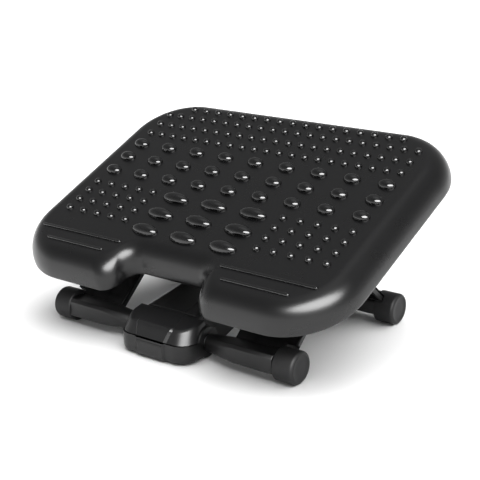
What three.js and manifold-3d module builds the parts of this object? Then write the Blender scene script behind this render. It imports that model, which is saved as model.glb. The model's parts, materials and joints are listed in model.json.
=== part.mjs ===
// Tilting under-desk footrest: a textured platform on two pairs of legs, lowered with a foot pedal.
// Millimetres, +Z up. X runs across the platform, +Y points away from the sitter.

import * as THREE from 'three';
import { mergeVertices } from 'three/addons/utils/BufferGeometryUtils.js';
import Module from 'manifold-3d';

const wasm = await Module();
wasm.setup();

// Clearances: between seated pieces, beside moving ones, and where cuts and joined shapes run into a solid
const seatGap = 0.3;
const runGap = 1;
const cutOverrun = 2;
const jointSink = 1;
const weldDistance = 1e-4;

// Stance: where the bars and the top axle lie
const barSpread = 208;
const axleHeight = 108;
const tiltAngle = THREE.MathUtils.degToRad(23);

// Platform shell
const platformWidth = 456;
const platformDepth = 342;
const platformRearReach = 193.7;
const platformRise = 47.5;
const shellWall = 3;
const lipHeight = 33;
const lipInset = 26;
const cornerRadius = 80;
const notchDepth = 41;
const notchFlatWidth = 76;
const notchMouthWidth = 160;
const notchCreaseFlatWidth = 80;
const notchCreaseMouthWidth = 200;

// Ribs and screw pads under the platform
const ribDepth = 9;
const ribWall = 2.4;
const ribPitchAcross = 43;
const crossRibSetback = 130;
const padWidth = 46;
const padLength = 64;

// Raised massage bumps, in rows set back from the rear rim and kept clear of the side rims
const smallBumpRadius = 4.6;
const smallBumpHeight = 4.6;
const rearRowSetback = 28.9;
const rearRowPitch = 19.4;
const rearRowInset = 72;
const bumpInset = 43.4;
const fullRowSetback = 47.2;
const fullRowSpacing = 21.3;
const fullRowPitch = 18.4;
const fullRows = 3;
const sideBumpPitch = 22.45;
const sideFieldInner = 94;
const sideRowSetback = 199.7;
const sideRowSpacing = 18.3;
const sideRows = 4;
const mediumLength = 22;
const mediumWidth = 15.4;
const mediumHeight = 7;
const mediumPitch = 44.9;
const mediumRowSetback = 114.7;
const mediumRowSpacing = 29.3;
const largeLength = 37;
const largeWidth = 17;
const largeHeight = 8.4;
const largePitch = 56.1;
const largeRowSetback = 203.8;
const largeRowSpacing = 30.65;
const ovalRows = 3;
const largeCount = 3;
const toeRibWidth = 3.2;
const toeRibHeight = 1.6;
const toeRibFrontSetback = 32.2;
const toeRibSpacing = 18.4;
const toeRibInner = [86.5, 73.6];
const toeRibOuterInset = [57.4, 34];

// Top axle
const axleRadius = 5;
const axleEndReach = 8;
const spacerWall = 2.5;
const clipRadius = 8.5;
const clipThickness = 1.4;
const clipGroove = 0.9;
const clipSetback = 3;

// Legs
const legInnerEdge = 2;
const legOuterEdge = 4;
const legThickness = 8;
const legBelowLine = 2;
const legSkin = 3;
const legWall = 3.2;
const legPockets = 3;
const legEndGap = 15;
const knuckleRadius = 9.5;
const frontKnuckles = [86, 130];
const knuckleWidth = 12;
const legOverFoot = 12;
const sleeveTaperRun = 11;
const sleeveFront = 17;
const sleeveBack = 14;
const sleeveTop = 13;
const sleeveBottom = 11;
const sleeveBevel = 7;
const sleeveEndRadius = 10.2;
const spigotRadius = 13.6;
const spigotLength = 20;

// Bars and rubber feet
const barRadius = 8;
const barWall = 1.5;
const barEndSetback = 7;
const footRadius = 18.8;
const footSides = 24;
const footLength = 26;
const footEdge = 3.4;
const footDiscRadius = 14.2;
const footDiscDepth = 0.9;

// Pivot brackets
const earThickness = 5.5;
const earRadius = 10;
const flangeThickness = 4;
const flangeWidth = 40;
const flangeLength = 58;
const screwInsetAcross = 6;
const screwInsetAlong = 8;
const screwRadius = 1.8;
const screwHeadRadius = 3.6;
const screwHeadHeight = 2.4;
const screwLength = 10;

// Pedal housing
const housingHalfWidth = 50;
const housingFrontReach = 42;
const housingCornerRadius = 22;
const housingFloorClear = 1.2;
const housingWall = 2.5;
const partingHeight = 21;
const partingGap = 2.6;
const panelHalfWidth = 21.5;
const panelTopSpread = 4.5;
const panelProud = 1.4;
const barrelRadius = 17.6;
const barrelWidth = 12;
const spineHalfWidth = 37;
const spineRearReach = 86;
const spineRearFloor = 18.5;
const spineFloorStart = 24;
const spineFloorBend = 45;
const spineFloorBendHeight = 6;
const spineFrontTop = 46.5;
const spineRearTop = 58;
const spineSplit = 24;
const seamReach = 1.5;

// Foot pedal
const pedalTopFront = 34;
const pedalTopFrontHeight = 38;
const pedalTopRearHeight = 45;
const pedalTopHalfWidth = 47;
const pedalPinSetback = 8;
const pedalPinHeight = 36;
const pinRadius = 2;
const pedalHubInner = 23;
const pedalHubWidth = 5;
const pedalHubRadius = 5;
const pedalEarThickness = 4;
const pedalEarRadius = 5.5;
const pedalArmWidth = 16;
const pedalArmThickness = 4;
const pedalArmReach = 46;

// Lock lever and height strap
const leverPinReach = 70;
const leverPinHeight = 39;
const leverWidth = 14;
const leverThickness = 5;
const leverFrontReach = 26;
const leverHubRadius = 5;
const leverEarThickness = 4;
const leverEarLength = 12;
const padReach = 14;
const brakePadLength = 9;
const brakePadThickness = 3;
const strapWidth = 24;
const strapThickness = 5;
const strapBottom = 22;
const strapFrontReach = 18;
const strapHeadLength = 8;
const strapHeadWidth = 40;
const strapHubRadius = 13;
const collarWidth = 7;
const collarRadius = 12;

// Pedal spring
const springRadius = 5.4;
const springWire = 1.5;
const springTurns = 6;
const springReach = 27;
const springTop = 31;

// Cover screws
const coverScrewAcross = 28;
const coverScrewReaches = [30, 78];
const coverPostRadius = 4.5;
const coverScrewLength = 14;

// Places worked out from the sizes above
const footFlat = Math.cos(Math.PI / footSides);
const barHeight = footRadius * footFlat;
const halfSpread = barSpread / 2;
const legLength = Math.hypot(halfSpread, axleHeight - barHeight);
const legAngle = Math.atan2(axleHeight - barHeight, halfSpread);
const halfWidth = platformWidth / 2;
const rearRim = platformRearReach;
const frontRim = platformRearReach - platformDepth;
const boreRadius = barRadius + seatGap;
const axleBore = axleRadius + seatGap;
const pinBore = pinRadius + seatGap;
const rearKnuckles = frontKnuckles.map((inner) => inner + knuckleWidth + runGap);
const legInner = frontKnuckles[0] - legInnerEdge;
const legOuter = rearKnuckles[1] + knuckleWidth + legOuterEdge;
const sleeveOuter = legOuter - legOverFoot;
const sleeveTaper = legInner + sleeveTaperRun;
const sleeveInner = housingHalfWidth + runGap;
const footEnd = sleeveOuter + seatGap + footLength;
const bracketCentre = (rearKnuckles[0] + knuckleWidth + frontKnuckles[1]) / 2;
const bracketHalf = frontKnuckles[1] - runGap - bracketCentre;
const axleHalf = rearKnuckles[1] + knuckleWidth + axleEndReach;

// Colours and finishes
const finishes = {
  platform: new THREE.MeshStandardMaterial({ color: 0x28292c, roughness: 0.42, metalness: 0 }),
  base: new THREE.MeshStandardMaterial({ color: 0x1d1e20, roughness: 0.55, metalness: 0 }),
  pedal: new THREE.MeshStandardMaterial({ color: 0x2c2d30, roughness: 0.45, metalness: 0 }),
  rubber: new THREE.MeshStandardMaterial({ color: 0x2b2c2e, roughness: 0.8, metalness: 0 }),
  steel: new THREE.MeshStandardMaterial({ color: 0xb4b6b9, roughness: 0.35, metalness: 1 }),
};

// Turns a closed three.js geometry into a solid that can be cut and joined
function solidFrom(geometry) {
  const bare = geometry.clone();
  bare.deleteAttribute('normal');
  bare.deleteAttribute('uv');
  const merged = mergeVertices(bare, weldDistance);
  const corners = merged.index.array;
  const kept = [];
  for (let i = 0; i < corners.length; i += 3) {
    const [a, b, c] = [corners[i], corners[i + 1], corners[i + 2]];
    if (a !== b && b !== c && c !== a) kept.push(a, b, c);
  }
  const vertProperties = new Float32Array(merged.attributes.position.array);
  return new wasm.Manifold(new wasm.Mesh({ numProp: 3, vertProperties, triVerts: new Uint32Array(kept) }));
}

// Makes the named mesh of a finished solid
function meshFrom(name, solid, material) {
  const shape = solid.getMesh();
  const geometry = new THREE.BufferGeometry();
  geometry.setAttribute('position', new THREE.BufferAttribute(new Float32Array(shape.vertProperties), 3));
  geometry.setIndex(new THREE.BufferAttribute(new Uint32Array(shape.triVerts), 1));
  geometry.computeVertexNormals();
  const mesh = new THREE.Mesh(geometry, material);
  mesh.name = name;
  return mesh;
}

// Closed solid through a stack of outlines with equal point counts, along Z
function loftZ(levels) {
  const count = levels[0].outline.length;
  const positions = [];
  const index = [];
  for (const { z, outline } of levels) {
    for (const point of outline) positions.push(point.x, point.y, z);
  }
  for (let level = 0; level < levels.length - 1; level += 1) {
    for (let i = 0; i < count; i += 1) {
      const a = level * count + i;
      const b = level * count + ((i + 1) % count);
      index.push(a, b, b + count, a, b + count, a + count);
    }
  }
  const top = (levels.length - 1) * count;
  for (const [a, b, c] of THREE.ShapeUtils.triangulateShape(levels[0].outline, [])) index.push(c, b, a);
  for (const [a, b, c] of THREE.ShapeUtils.triangulateShape(levels[levels.length - 1].outline, [])) {
    index.push(top + a, top + b, top + c);
  }
  const geometry = new THREE.BufferGeometry();
  geometry.setAttribute('position', new THREE.Float32BufferAttribute(positions, 3));
  geometry.setIndex(index);
  return solidFrom(geometry);
}

// The same along X: outlines are given in Y and Z
function loftX(levels) {
  const sorted = [...levels].sort((a, b) => a.x - b.x);
  const upright = loftZ(sorted.map(({ x, outline }) => ({ z: x, outline })));
  return upright.transform([0, 1, 0, 0, 0, 0, 1, 0, 1, 0, 0, 0, 0, 0, 0, 1]);
}

// Straight bar of a Y-Z outline between two places across
function prismX(outline, from, to) {
  return loftX([{ x: from, outline }, { x: to, outline }]);
}

function box(from, to) {
  const size = new THREE.Vector3().subVectors(to, from);
  const centre = new THREE.Vector3().addVectors(from, to).multiplyScalar(1 / 2);
  return solidFrom(new THREE.BoxGeometry(size.x, size.y, size.z).translate(centre.x, centre.y, centre.z));
}

// Round rod or bore along X
function rodX(radius, from, to, y, z, sides = 20) {
  const rod = new THREE.CylinderGeometry(radius, radius, Math.abs(to - from), sides);
  rod.rotateY(Math.PI / sides).rotateZ(Math.PI / 2);
  return solidFrom(rod.translate((from + to) / 2, y, z));
}

// Round post or hole along Z
function postZ(radius, x, y, from, to, sides = 16) {
  const post = new THREE.CylinderGeometry(radius, radius, to - from, sides).rotateX(Math.PI / 2);
  return solidFrom(post.translate(x, y, (from + to) / 2));
}

// Turned shape about X: the profile runs from axis to axis as [radius, place along X]
function turnedX(profile, sides) {
  const points = profile.map(([radius, along]) => new THREE.Vector2(radius, along));
  const turned = new THREE.LatheGeometry(points, sides);
  return solidFrom(turned.rotateY(Math.PI / sides).rotateZ(-Math.PI / 2));
}

function point(x, y) {
  return new THREE.Vector2(x, y);
}

function arc(centreX, centreY, radius, start, end, steps) {
  const points = [];
  for (let i = 0; i <= steps; i += 1) {
    const angle = start + ((end - start) * i) / steps;
    points.push(point(centreX + radius * Math.cos(angle), centreY + radius * Math.sin(angle)));
  }
  return points;
}

// Mirrors the right half of an outline, which starts and ends on the centre line, and closes it
function mirrored(rightHalf) {
  const left = rightHalf.slice(1, -1).reverse().map(({ x, y }) => point(-x, y));
  return [...rightHalf, ...left];
}

function spanX(side, inner, outer) {
  return side > 0 ? [inner, outer] : [-outer, -inner];
}

// Platform outline: a rounded rectangle with an S-sided bay in its front edge for the pedal
function platformOutline(inset, flatWidth, mouthWidth) {
  const front = frontRim + inset;
  const back = frontRim + notchDepth + inset;
  const start = flatWidth / 2;
  const run = mouthWidth / 2 - start;
  const turn = 2 * Math.atan(notchDepth / run);
  const bend = run / (2 * Math.sin(turn));
  const steps = 5;
  const radius = cornerRadius - inset;
  const side = halfWidth - inset;
  const quarter = Math.PI / 2;
  const bay = arc(start, back - bend, bend, quarter, quarter - turn, steps);
  const shoulder = arc(start + run, front + bend, bend, 3 * quarter - turn, 3 * quarter, steps);
  const corner = arc(side - radius, front + radius, radius, -quarter, 0, steps + 4);
  const rear = arc(side - radius, rearRim - inset - radius, radius, 0, quarter, steps + 4);
  const middle = [point(0, back), point(0, rearRim - inset)];
  return mirrored([middle[0], ...bay, ...shoulder.slice(1), ...corner, ...rear, middle[1]]);
}

// The rolled lip: rings that go from the bottom rim over a quarter round to the flat top
function lipLevels(wall, foot) {
  const rim = platformOutline(wall, notchFlatWidth, notchMouthWidth);
  const crease = platformOutline(lipInset, notchCreaseFlatWidth, notchCreaseMouthWidth);
  const steps = 5;
  const top = platformRise - wall;
  const bottom = platformRise - lipHeight;
  const levels = foot > 0 ? [{ z: bottom - foot, outline: rim }] : [];
  for (let i = 0; i <= steps; i += 1) {
    const angle = (Math.PI / 2) * (i / steps);
    const share = 1 - Math.cos(angle);
    const outline = rim.map((from, n) => from.clone().lerp(crease[n], share));
    levels.push({ z: bottom + (top - bottom) * Math.sin(angle), outline });
  }
  return levels;
}

// One raised bump: a dome that is stretched to the length and width of its kind
function bump(x, y, length, width, height, sides, rings) {
  const profile = [[0, -jointSink], [1, -jointSink]];
  for (let i = 0; i < rings; i += 1) {
    const angle = (Math.PI / 2) * (i / rings);
    profile.push([Math.cos(angle), height * Math.sin(angle)]);
  }
  profile.push([0, height]);
  const points = profile.map(([radius, up]) => new THREE.Vector2(radius, up));
  const dome = new THREE.LatheGeometry(points, sides).rotateX(Math.PI / 2);
  dome.scale(length / 2, width / 2, 1);
  return solidFrom(dome.translate(x, y, platformRise));
}

function rowOfBumps(count, pitch, y, length, width, height, sides, rings) {
  const bumps = [];
  for (let i = 0; i < count; i += 1) {
    const x = (i - (count - 1) / 2) * pitch;
    bumps.push(bump(x, y, length, width, height, sides, rings));
  }
  return bumps;
}

// How many bumps at a pitch fit across, one of them on the centre line
function countAcross(pitch, inset) {
  return 2 * Math.floor((halfWidth - inset) / pitch) + 1;
}

// Every dome and oval on the platform
function allBumps() {
  const small = [2 * smallBumpRadius, 2 * smallBumpRadius, smallBumpHeight, 6, 2];
  const rearY = rearRim - rearRowSetback;
  const bumps = rowOfBumps(countAcross(rearRowPitch, rearRowInset), rearRowPitch, rearY, ...small);
  for (let row = 0; row < fullRows; row += 1) {
    const y = rearRim - fullRowSetback - row * fullRowSpacing;
    bumps.push(...rowOfBumps(countAcross(fullRowPitch, bumpInset), fullRowPitch, y, ...small));
  }
  for (let row = 0; row < sideRows; row += 1) {
    for (let x = halfWidth - bumpInset; x > sideFieldInner; x -= sideBumpPitch) {
      const y = rearRim - sideRowSetback - row * sideRowSpacing;
      bumps.push(bump(x, y, ...small), bump(-x, y, ...small));
    }
  }
  for (let row = 0; row < ovalRows; row += 1) {
    const y = rearRim - mediumRowSetback - row * mediumRowSpacing;
    const oval = [mediumLength, mediumWidth, mediumHeight, 10, 2];
    bumps.push(...rowOfBumps(countAcross(mediumPitch, bumpInset), mediumPitch, y, ...oval));
  }
  for (let row = 0; row < ovalRows; row += 1) {
    const y = rearRim - largeRowSetback - row * largeRowSpacing;
    bumps.push(...rowOfBumps(largeCount, largePitch, y, largeLength, largeWidth, largeHeight, 12, 2));
  }
  return bumps;
}

// The four thin ribs in front of the bumps, where the toes find the edge
function toeRibs() {
  const ribs = [];
  for (let row = 0; row < toeRibInner.length; row += 1) {
    const y = frontRim + toeRibFrontSetback + row * toeRibSpacing;
    for (const side of [-1, 1]) {
      const [from, to] = spanX(side, toeRibInner[row], halfWidth - toeRibOuterInset[row]);
      const radius = toeRibWidth / 2;
      const start = arc(from, y, radius, Math.PI / 2, (3 * Math.PI) / 2, 4);
      const outline = [...start, ...arc(to, y, radius, -Math.PI / 2, Math.PI / 2, 4)];
      const foot = platformRise - jointSink;
      ribs.push(loftZ([{ z: foot, outline }, { z: platformRise + toeRibHeight, outline }]));
    }
  }
  return ribs;
}

// Stiffening ribs under the platform, trimmed to end halfway into the shell's wall
function stiffeners() {
  const top = platformRise - shellWall + jointSink;
  const bottom = platformRise - shellWall - ribDepth;
  const lattice = [];
  const across = Math.floor(halfWidth / ribPitchAcross);
  for (let i = -across; i <= across; i += 1) {
    const x = i * ribPitchAcross;
    const from = new THREE.Vector3(x - ribWall / 2, frontRim, bottom);
    lattice.push(box(from, new THREE.Vector3(x + ribWall / 2, rearRim, top)));
  }
  for (const y of [rearRim - crossRibSetback, frontRim + crossRibSetback]) {
    const from = new THREE.Vector3(-halfWidth, y - ribWall / 2, bottom);
    lattice.push(box(from, new THREE.Vector3(halfWidth, y + ribWall / 2, top)));
  }
  return wasm.Manifold.union(lattice).intersect(loftZ(lipLevels(shellWall / 2, 0)));
}

// Places of one bracket's four screws, across and along the platform
function bracketScrewPlaces(side) {
  const places = [];
  for (const across of [-1, 1]) {
    for (const along of [-1, 1]) {
      const x = side * bracketCentre + across * (flangeWidth / 2 - screwInsetAcross);
      places.push([x, along * (flangeLength / 2 - screwInsetAlong)]);
    }
  }
  return places;
}

const underside = platformRise - shellWall;
const padBottom = underside - ribDepth;
const flangeTop = padBottom - seatGap;
const flangeBottom = flangeTop - flangeThickness;

// The screw pads that the pivot brackets are fastened to
function screwPads() {
  const pads = [];
  for (const side of [-1, 1]) {
    const [from, to] = spanX(side, bracketCentre - padWidth / 2, bracketCentre + padWidth / 2);
    const low = new THREE.Vector3(from, -padLength / 2, padBottom);
    pads.push(box(low, new THREE.Vector3(to, padLength / 2, underside + jointSink)));
  }
  return pads;
}

// Moulded platform in one piece: shell, lip, bumps, toe ribs, stiffeners and screw pads
function makePlatform() {
  const outer = loftZ(lipLevels(0, 0));
  const inner = loftZ(lipLevels(shellWall, cutOverrun));
  const shell = outer.subtract(inner);
  const holes = [];
  for (const side of [-1, 1]) {
    for (const [x, y] of bracketScrewPlaces(side)) {
      const top = flangeBottom + screwLength + seatGap;
      holes.push(postZ(screwRadius + seatGap, x, y, padBottom - cutOverrun, top, 10));
    }
  }
  const parts = [shell, stiffeners(), ...screwPads(), ...toeRibs(), ...allBumps()];
  const solid = wasm.Manifold.union(parts).subtract(wasm.Manifold.union(holes));
  return meshFrom('platform', solid, finishes.platform);
}

// Saddle bracket: a flange under the platform and two ears that carry the axle
function makePivotBracket(name, side) {
  const centre = side * bracketCentre;
  const low = new THREE.Vector3(centre - flangeWidth / 2, -flangeLength / 2, flangeBottom);
  let solid = box(low, new THREE.Vector3(centre + flangeWidth / 2, flangeLength / 2, flangeTop));
  const rootHalf = flangeLength / 2 - screwInsetAlong - screwHeadRadius - seatGap;
  const round = arc(0, 0, earRadius, Math.PI, 2 * Math.PI, 10);
  const root = flangeBottom + jointSink;
  const outline = [...round, point(rootHalf, root), point(-rootHalf, root)];
  for (const edge of [-1, 1]) {
    const outer = centre + edge * bracketHalf;
    const inner = outer - edge * earThickness;
    solid = solid.add(prismX(outline, Math.min(inner, outer), Math.max(inner, outer)));
  }
  const reach = flangeWidth / 2;
  solid = solid.subtract(rodX(axleBore, centre - reach, centre + reach, 0, 0));
  for (const [x, y] of bracketScrewPlaces(side)) {
    const hole = postZ(screwRadius + seatGap, x, y, flangeBottom - cutOverrun, flangeTop + cutOverrun, 10);
    solid = solid.subtract(hole);
  }
  return meshFrom(name, solid, finishes.base);
}

// Pan-head screw standing on Z, its head underneath
function makeScrew(name, x, y, headTop, length) {
  const head = postZ(screwHeadRadius, x, y, headTop - screwHeadHeight, headTop, 12);
  const shank = postZ(screwRadius, x, y, headTop - jointSink, headTop + length, 10);
  return meshFrom(name, head.add(shank), finishes.steel);
}

// Steel axle rod with a groove near each end for its clip
function makeTopAxle() {
  const half = axleHalf;
  const grooveRadius = axleRadius - clipGroove;
  const groove = clipThickness + 2 * seatGap;
  const inner = half - clipSetback - groove;
  const outer = half - clipSetback;
  const profile = [
    [0, -half], [axleRadius, -half], [axleRadius, -outer], [grooveRadius, -outer],
    [grooveRadius, -inner], [axleRadius, -inner], [axleRadius, inner], [grooveRadius, inner],
    [grooveRadius, outer], [axleRadius, outer], [axleRadius, half], [0, half],
  ];
  return meshFrom('top_axle', turnedX(profile, 20), finishes.steel);
}

// Tube that keeps the left and right legs apart on the axle
function makeAxleSpacer() {
  const half = frontKnuckles[0] - seatGap;
  const tube = rodX(axleBore + spacerWall, -half, half, 0, 0);
  const bore = rodX(axleBore, -half - cutOverrun, half + cutOverrun, 0, 0);
  return meshFrom('axle_spacer', tube.subtract(bore), finishes.base);
}

// Open spring clip in the axle's groove
function makeAxleClip(name, side) {
  const middle = axleHalf - clipSetback - clipThickness / 2 - seatGap;
  const [from, to] = spanX(side, middle - clipThickness / 2, middle + clipThickness / 2);
  const ring = rodX(clipRadius, from, to, 0, 0, 20);
  const bore = rodX(axleRadius - clipGroove + seatGap, from - cutOverrun, to + cutOverrun, 0, 0, 20);
  const slot = axleRadius - clipGroove;
  const low = new THREE.Vector3(from - cutOverrun, -slot, -clipRadius - cutOverrun);
  const mouth = box(low, new THREE.Vector3(to + cutOverrun, slot, 0));
  return meshFrom(name, ring.subtract(bore).subtract(mouth), finishes.steel);
}

// Y-Z place at a distance along the leg and above its centre line
function onLeg(along, above) {
  const y = along * Math.cos(legAngle) - above * Math.sin(legAngle);
  const z = along * Math.sin(legAngle) + above * Math.cos(legAngle);
  return point(y, z);
}

function legStrip(from, to, below, above) {
  return [onLeg(from, below), onLeg(to, below), onLeg(to, above), onLeg(from, above)];
}

// Outline of the sleeve on the bar: a flat front, and a rounded back
function sleeveOutline() {
  const edge = sleeveBevel / 2;
  return [
    point(-sleeveFront, sleeveTop - sleeveFront - edge), point(-sleeveFront / 2, -sleeveBottom),
    point(sleeveBack / 2, -sleeveBottom), point(sleeveBack, -sleeveBevel),
    point(sleeveBack, sleeveBevel), point(sleeveBack / 2, sleeveTop),
    point(edge - sleeveFront, sleeveTop), point(-sleeveFront, sleeveTop - edge),
  ];
}

// The round end of the sleeve beside the pedal housing, with as many points as the flat-fronted outline
function sleeveEndOutline(corners) {
  const start = Math.PI + Math.PI / corners;
  return arc(0, 0, sleeveEndRadius, start, start + 2 * Math.PI, corners).slice(0, corners);
}

// Moulded leg: sleeve on the bar, pocketed plate and two knuckles on the axle
function makeLeg(name, side, knuckles) {
  const full = sleeveOutline();
  const small = sleeveEndOutline(full.length);
  const levels = [[sleeveOuter, full], [sleeveTaper, full], [sleeveInner + seatGap, small]];
  const sleeve = loftX(levels.map(([x, outline]) => ({ x: side * x, outline })));
  const spigotEnd = sleeveOuter + spigotLength;
  const spigot = rodX(spigotRadius, ...spanX(side, sleeveOuter - jointSink, spigotEnd), 0, 0);
  const top = legThickness - legBelowLine;
  const plateEnd = legLength - legEndGap;
  const wide = prismX(legStrip(0, plateEnd, -legBelowLine, top), ...spanX(side, legInner, legOuter));
  const footClear = rodX(footRadius + runGap, ...spanX(side, sleeveOuter, legOuter + cutOverrun), 0, 0);
  let solid = wide.subtract(footClear).add(sleeve).add(spigot);
  const pocketWidth = (legOuter - legInner - (legPockets + 1) * legWall) / legPockets;
  for (let i = 0; i < legPockets; i += 1) {
    const inner = legInner + legWall + i * (pocketWidth + legWall);
    const from = footRadius + runGap + legWall;
    const strip = legStrip(from, plateEnd - legWall, -legBelowLine - cutOverrun, top - legSkin);
    solid = solid.subtract(prismX(strip, ...spanX(side, inner, inner + pocketWidth)));
  }
  const axle = onLeg(legLength, 0);
  for (const inner of knuckles) {
    const span = spanX(side, inner, inner + knuckleWidth);
    solid = solid.add(rodX(knuckleRadius, ...span, axle.x, axle.y));
    solid = solid.add(prismX(legStrip(plateEnd - jointSink, legLength, -legBelowLine, top), ...span));
  }
  const reach = legOuter + spigotLength;
  solid = solid.subtract(rodX(axleBore, ...spanX(side, 0, reach), axle.x, axle.y));
  solid = solid.subtract(rodX(boreRadius, ...spanX(side, 0, reach), 0, 0));
  return meshFrom(name, solid, finishes.base);
}

// Steel tube through both legs
function makeBar(name) {
  const half = sleeveOuter + spigotLength - barEndSetback;
  const bore = rodX(barRadius - barWall, -half - cutOverrun, half + cutOverrun, 0, 0);
  return meshFrom(name, rodX(barRadius, -half, half, 0, 0).subtract(bore), finishes.steel);
}

// Rubber cup on the end of the bar, with a rounded edge and a shallow round recess in its end
function makeFoot(name, side) {
  const start = sleeveOuter + seatGap;
  const bore = spigotRadius + seatGap;
  const boreEnd = sleeveOuter + spigotLength + seatGap;
  const edge = arc(footRadius - footEdge, footEnd - footEdge, footEdge, 0, Math.PI / 2, 2);
  const profile = [
    [0, boreEnd], [bore, boreEnd], [bore, start], [footRadius, start],
    ...edge.map(({ x, y }) => [x, y]), [footDiscRadius, footEnd],
    [footDiscRadius - footDiscDepth, footEnd - footDiscDepth], [0, footEnd - footDiscDepth],
  ];
  const mesh = meshFrom(name, turnedX(profile, footSides), finishes.rubber);
  if (side < 0) mesh.rotation.z = Math.PI;
  return mesh;
}

// Plan outline of the housing's front, with rounded front corners
function housingOutline(half, front, back, inset) {
  const radius = housingCornerRadius - inset;
  const right = half - inset;
  const corner = arc(right - radius, -front + inset + radius, radius, -Math.PI / 2, 0, 6);
  return mirrored([point(0, -front + inset), ...corner, point(right, back), point(0, back)]);
}

// Plan of the slightly raised band in the middle of the front
function panelPlan(half, front) {
  return [
    point(-half, -front - panelProud), point(half, -front - panelProud),
    point(half, -front + jointSink), point(-half, -front + jointSink),
  ];
}

// Lower half of the housing: a tray that turns on the front bar and carries both pins
function makeHousingBase() {
  const bottom = housingFloorClear;
  const top = partingHeight;
  const back = barrelRadius;
  const plan = housingOutline(housingHalfWidth, housingFrontReach, back, 0);
  const hollow = housingOutline(housingHalfWidth, housingFrontReach, back, housingWall);
  const floor = bottom + housingWall;
  let solid = loftZ([{ z: bottom, outline: plan }, { z: top, outline: plan }]);
  solid = solid.subtract(loftZ([{ z: floor, outline: hollow }, { z: top + cutOverrun, outline: hollow }]));
  const panel = panelPlan(panelHalfWidth, housingFrontReach);
  solid = solid.add(loftZ([{ z: bottom, outline: panel }, { z: top, outline: panel }]));
  const reaches = [0, spineFloorStart, spineFloorBend, spineRearReach];
  const spineFloor = reaches.map((y) => point(y, spineFloorAt(y)));
  const spineOuter = [...spineFloor, point(spineRearReach, spineSplit), point(0, spineSplit)];
  const beyond = spineRearReach + cutOverrun;
  const spineInner = [...reaches.slice(0, 3), beyond].map((y) => point(y, spineFloorAt(y) + housingWall));
  spineInner.push(point(beyond, spineSplit + cutOverrun), point(0, spineSplit + cutOverrun));
  solid = solid.add(prismX(spineOuter, -spineHalfWidth, spineHalfWidth));
  const innerHalf = spineHalfWidth - housingWall;
  solid = solid.subtract(prismX(spineInner, -innerHalf, innerHalf));
  for (const side of [-1, 1]) {
    const barrel = spanX(side, housingHalfWidth - barrelWidth, housingHalfWidth);
    solid = solid.add(rodX(barrelRadius, ...barrel, 0, barHeight));
    const hubEnd = pedalHubInner + pedalHubWidth;
    const ear = spanX(side, hubEnd + seatGap, hubEnd + pedalEarThickness);
    solid = solid.add(prismX(pedalEarOutline(), ...ear));
    const guide = strapWidth / 2 + runGap;
    solid = solid.add(prismX(leverEarOutline(), ...spanX(side, guide, guide + leverEarThickness)));
  }
  for (const [x, y] of coverScrewPlaces()) {
    solid = solid.add(postZ(coverPostRadius, x, y, spineFloorAt(y) + jointSink, spineSplit, 12));
  }
  const reach = housingHalfWidth + cutOverrun;
  solid = solid.subtract(rodX(boreRadius, -reach, reach, 0, barHeight));
  solid = solid.subtract(rodX(pinBore, -innerHalf, innerHalf, -pedalPinSetback, pedalPinHeight, 16));
  solid = solid.subtract(rodX(pinBore, -innerHalf, innerHalf, leverPinReach, leverPinHeight, 16));
  for (const [x, y] of coverScrewPlaces()) {
    const low = spineFloorAt(y) - cutOverrun;
    solid = solid.subtract(postZ(screwRadius + seatGap, x, y, low, spineSplit + cutOverrun, 10));
    solid = solid.subtract(postZ(screwHeadRadius + seatGap, x, y, low - housingWall, screwHeadSeat(y), 12));
  }
  return meshFrom('housing_base', solid, finishes.base);
}

// Height of the underside of the spine at a distance behind the bar
function spineFloorAt(y) {
  if (y < spineFloorStart) return housingFloorClear;
  const slope = (spineFloorBendHeight - housingFloorClear) / (spineFloorBend - spineFloorStart);
  if (y < spineFloorBend) return housingFloorClear + (y - spineFloorStart) * slope;
  const rise = (spineRearFloor - spineFloorBendHeight) / (spineRearReach - spineFloorBend);
  return spineFloorBendHeight + (y - spineFloorBend) * rise;
}

function screwHeadSeat(y) {
  return spineFloorAt(y) + screwHeadHeight + housingWall / 2;
}

function coverScrewPlaces() {
  const places = [];
  for (const side of [-1, 1]) {
    for (const reach of coverScrewReaches) places.push([side * coverScrewAcross, reach]);
  }
  return places;
}

// Ear beside the bar that holds the pedal's pin
function pedalEarOutline() {
  const round = arc(-pedalPinSetback, pedalPinHeight, pedalEarRadius, 0, Math.PI, 8);
  const foot = housingFloorClear + jointSink;
  return [point(-barrelRadius, foot), point(barrelRadius, foot), ...round];
}

// Ear that holds the lever's pin and guides the strap
function leverEarOutline() {
  const half = leverEarLength / 2;
  const round = arc(leverPinReach, leverPinHeight, leverHubRadius, 0, Math.PI, 6);
  const foot = (y) => spineFloorAt(y) + jointSink;
  const front = leverPinReach - half;
  const back = leverPinReach + half;
  return [point(front, foot(front)), point(back, foot(back)), ...round];
}

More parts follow.
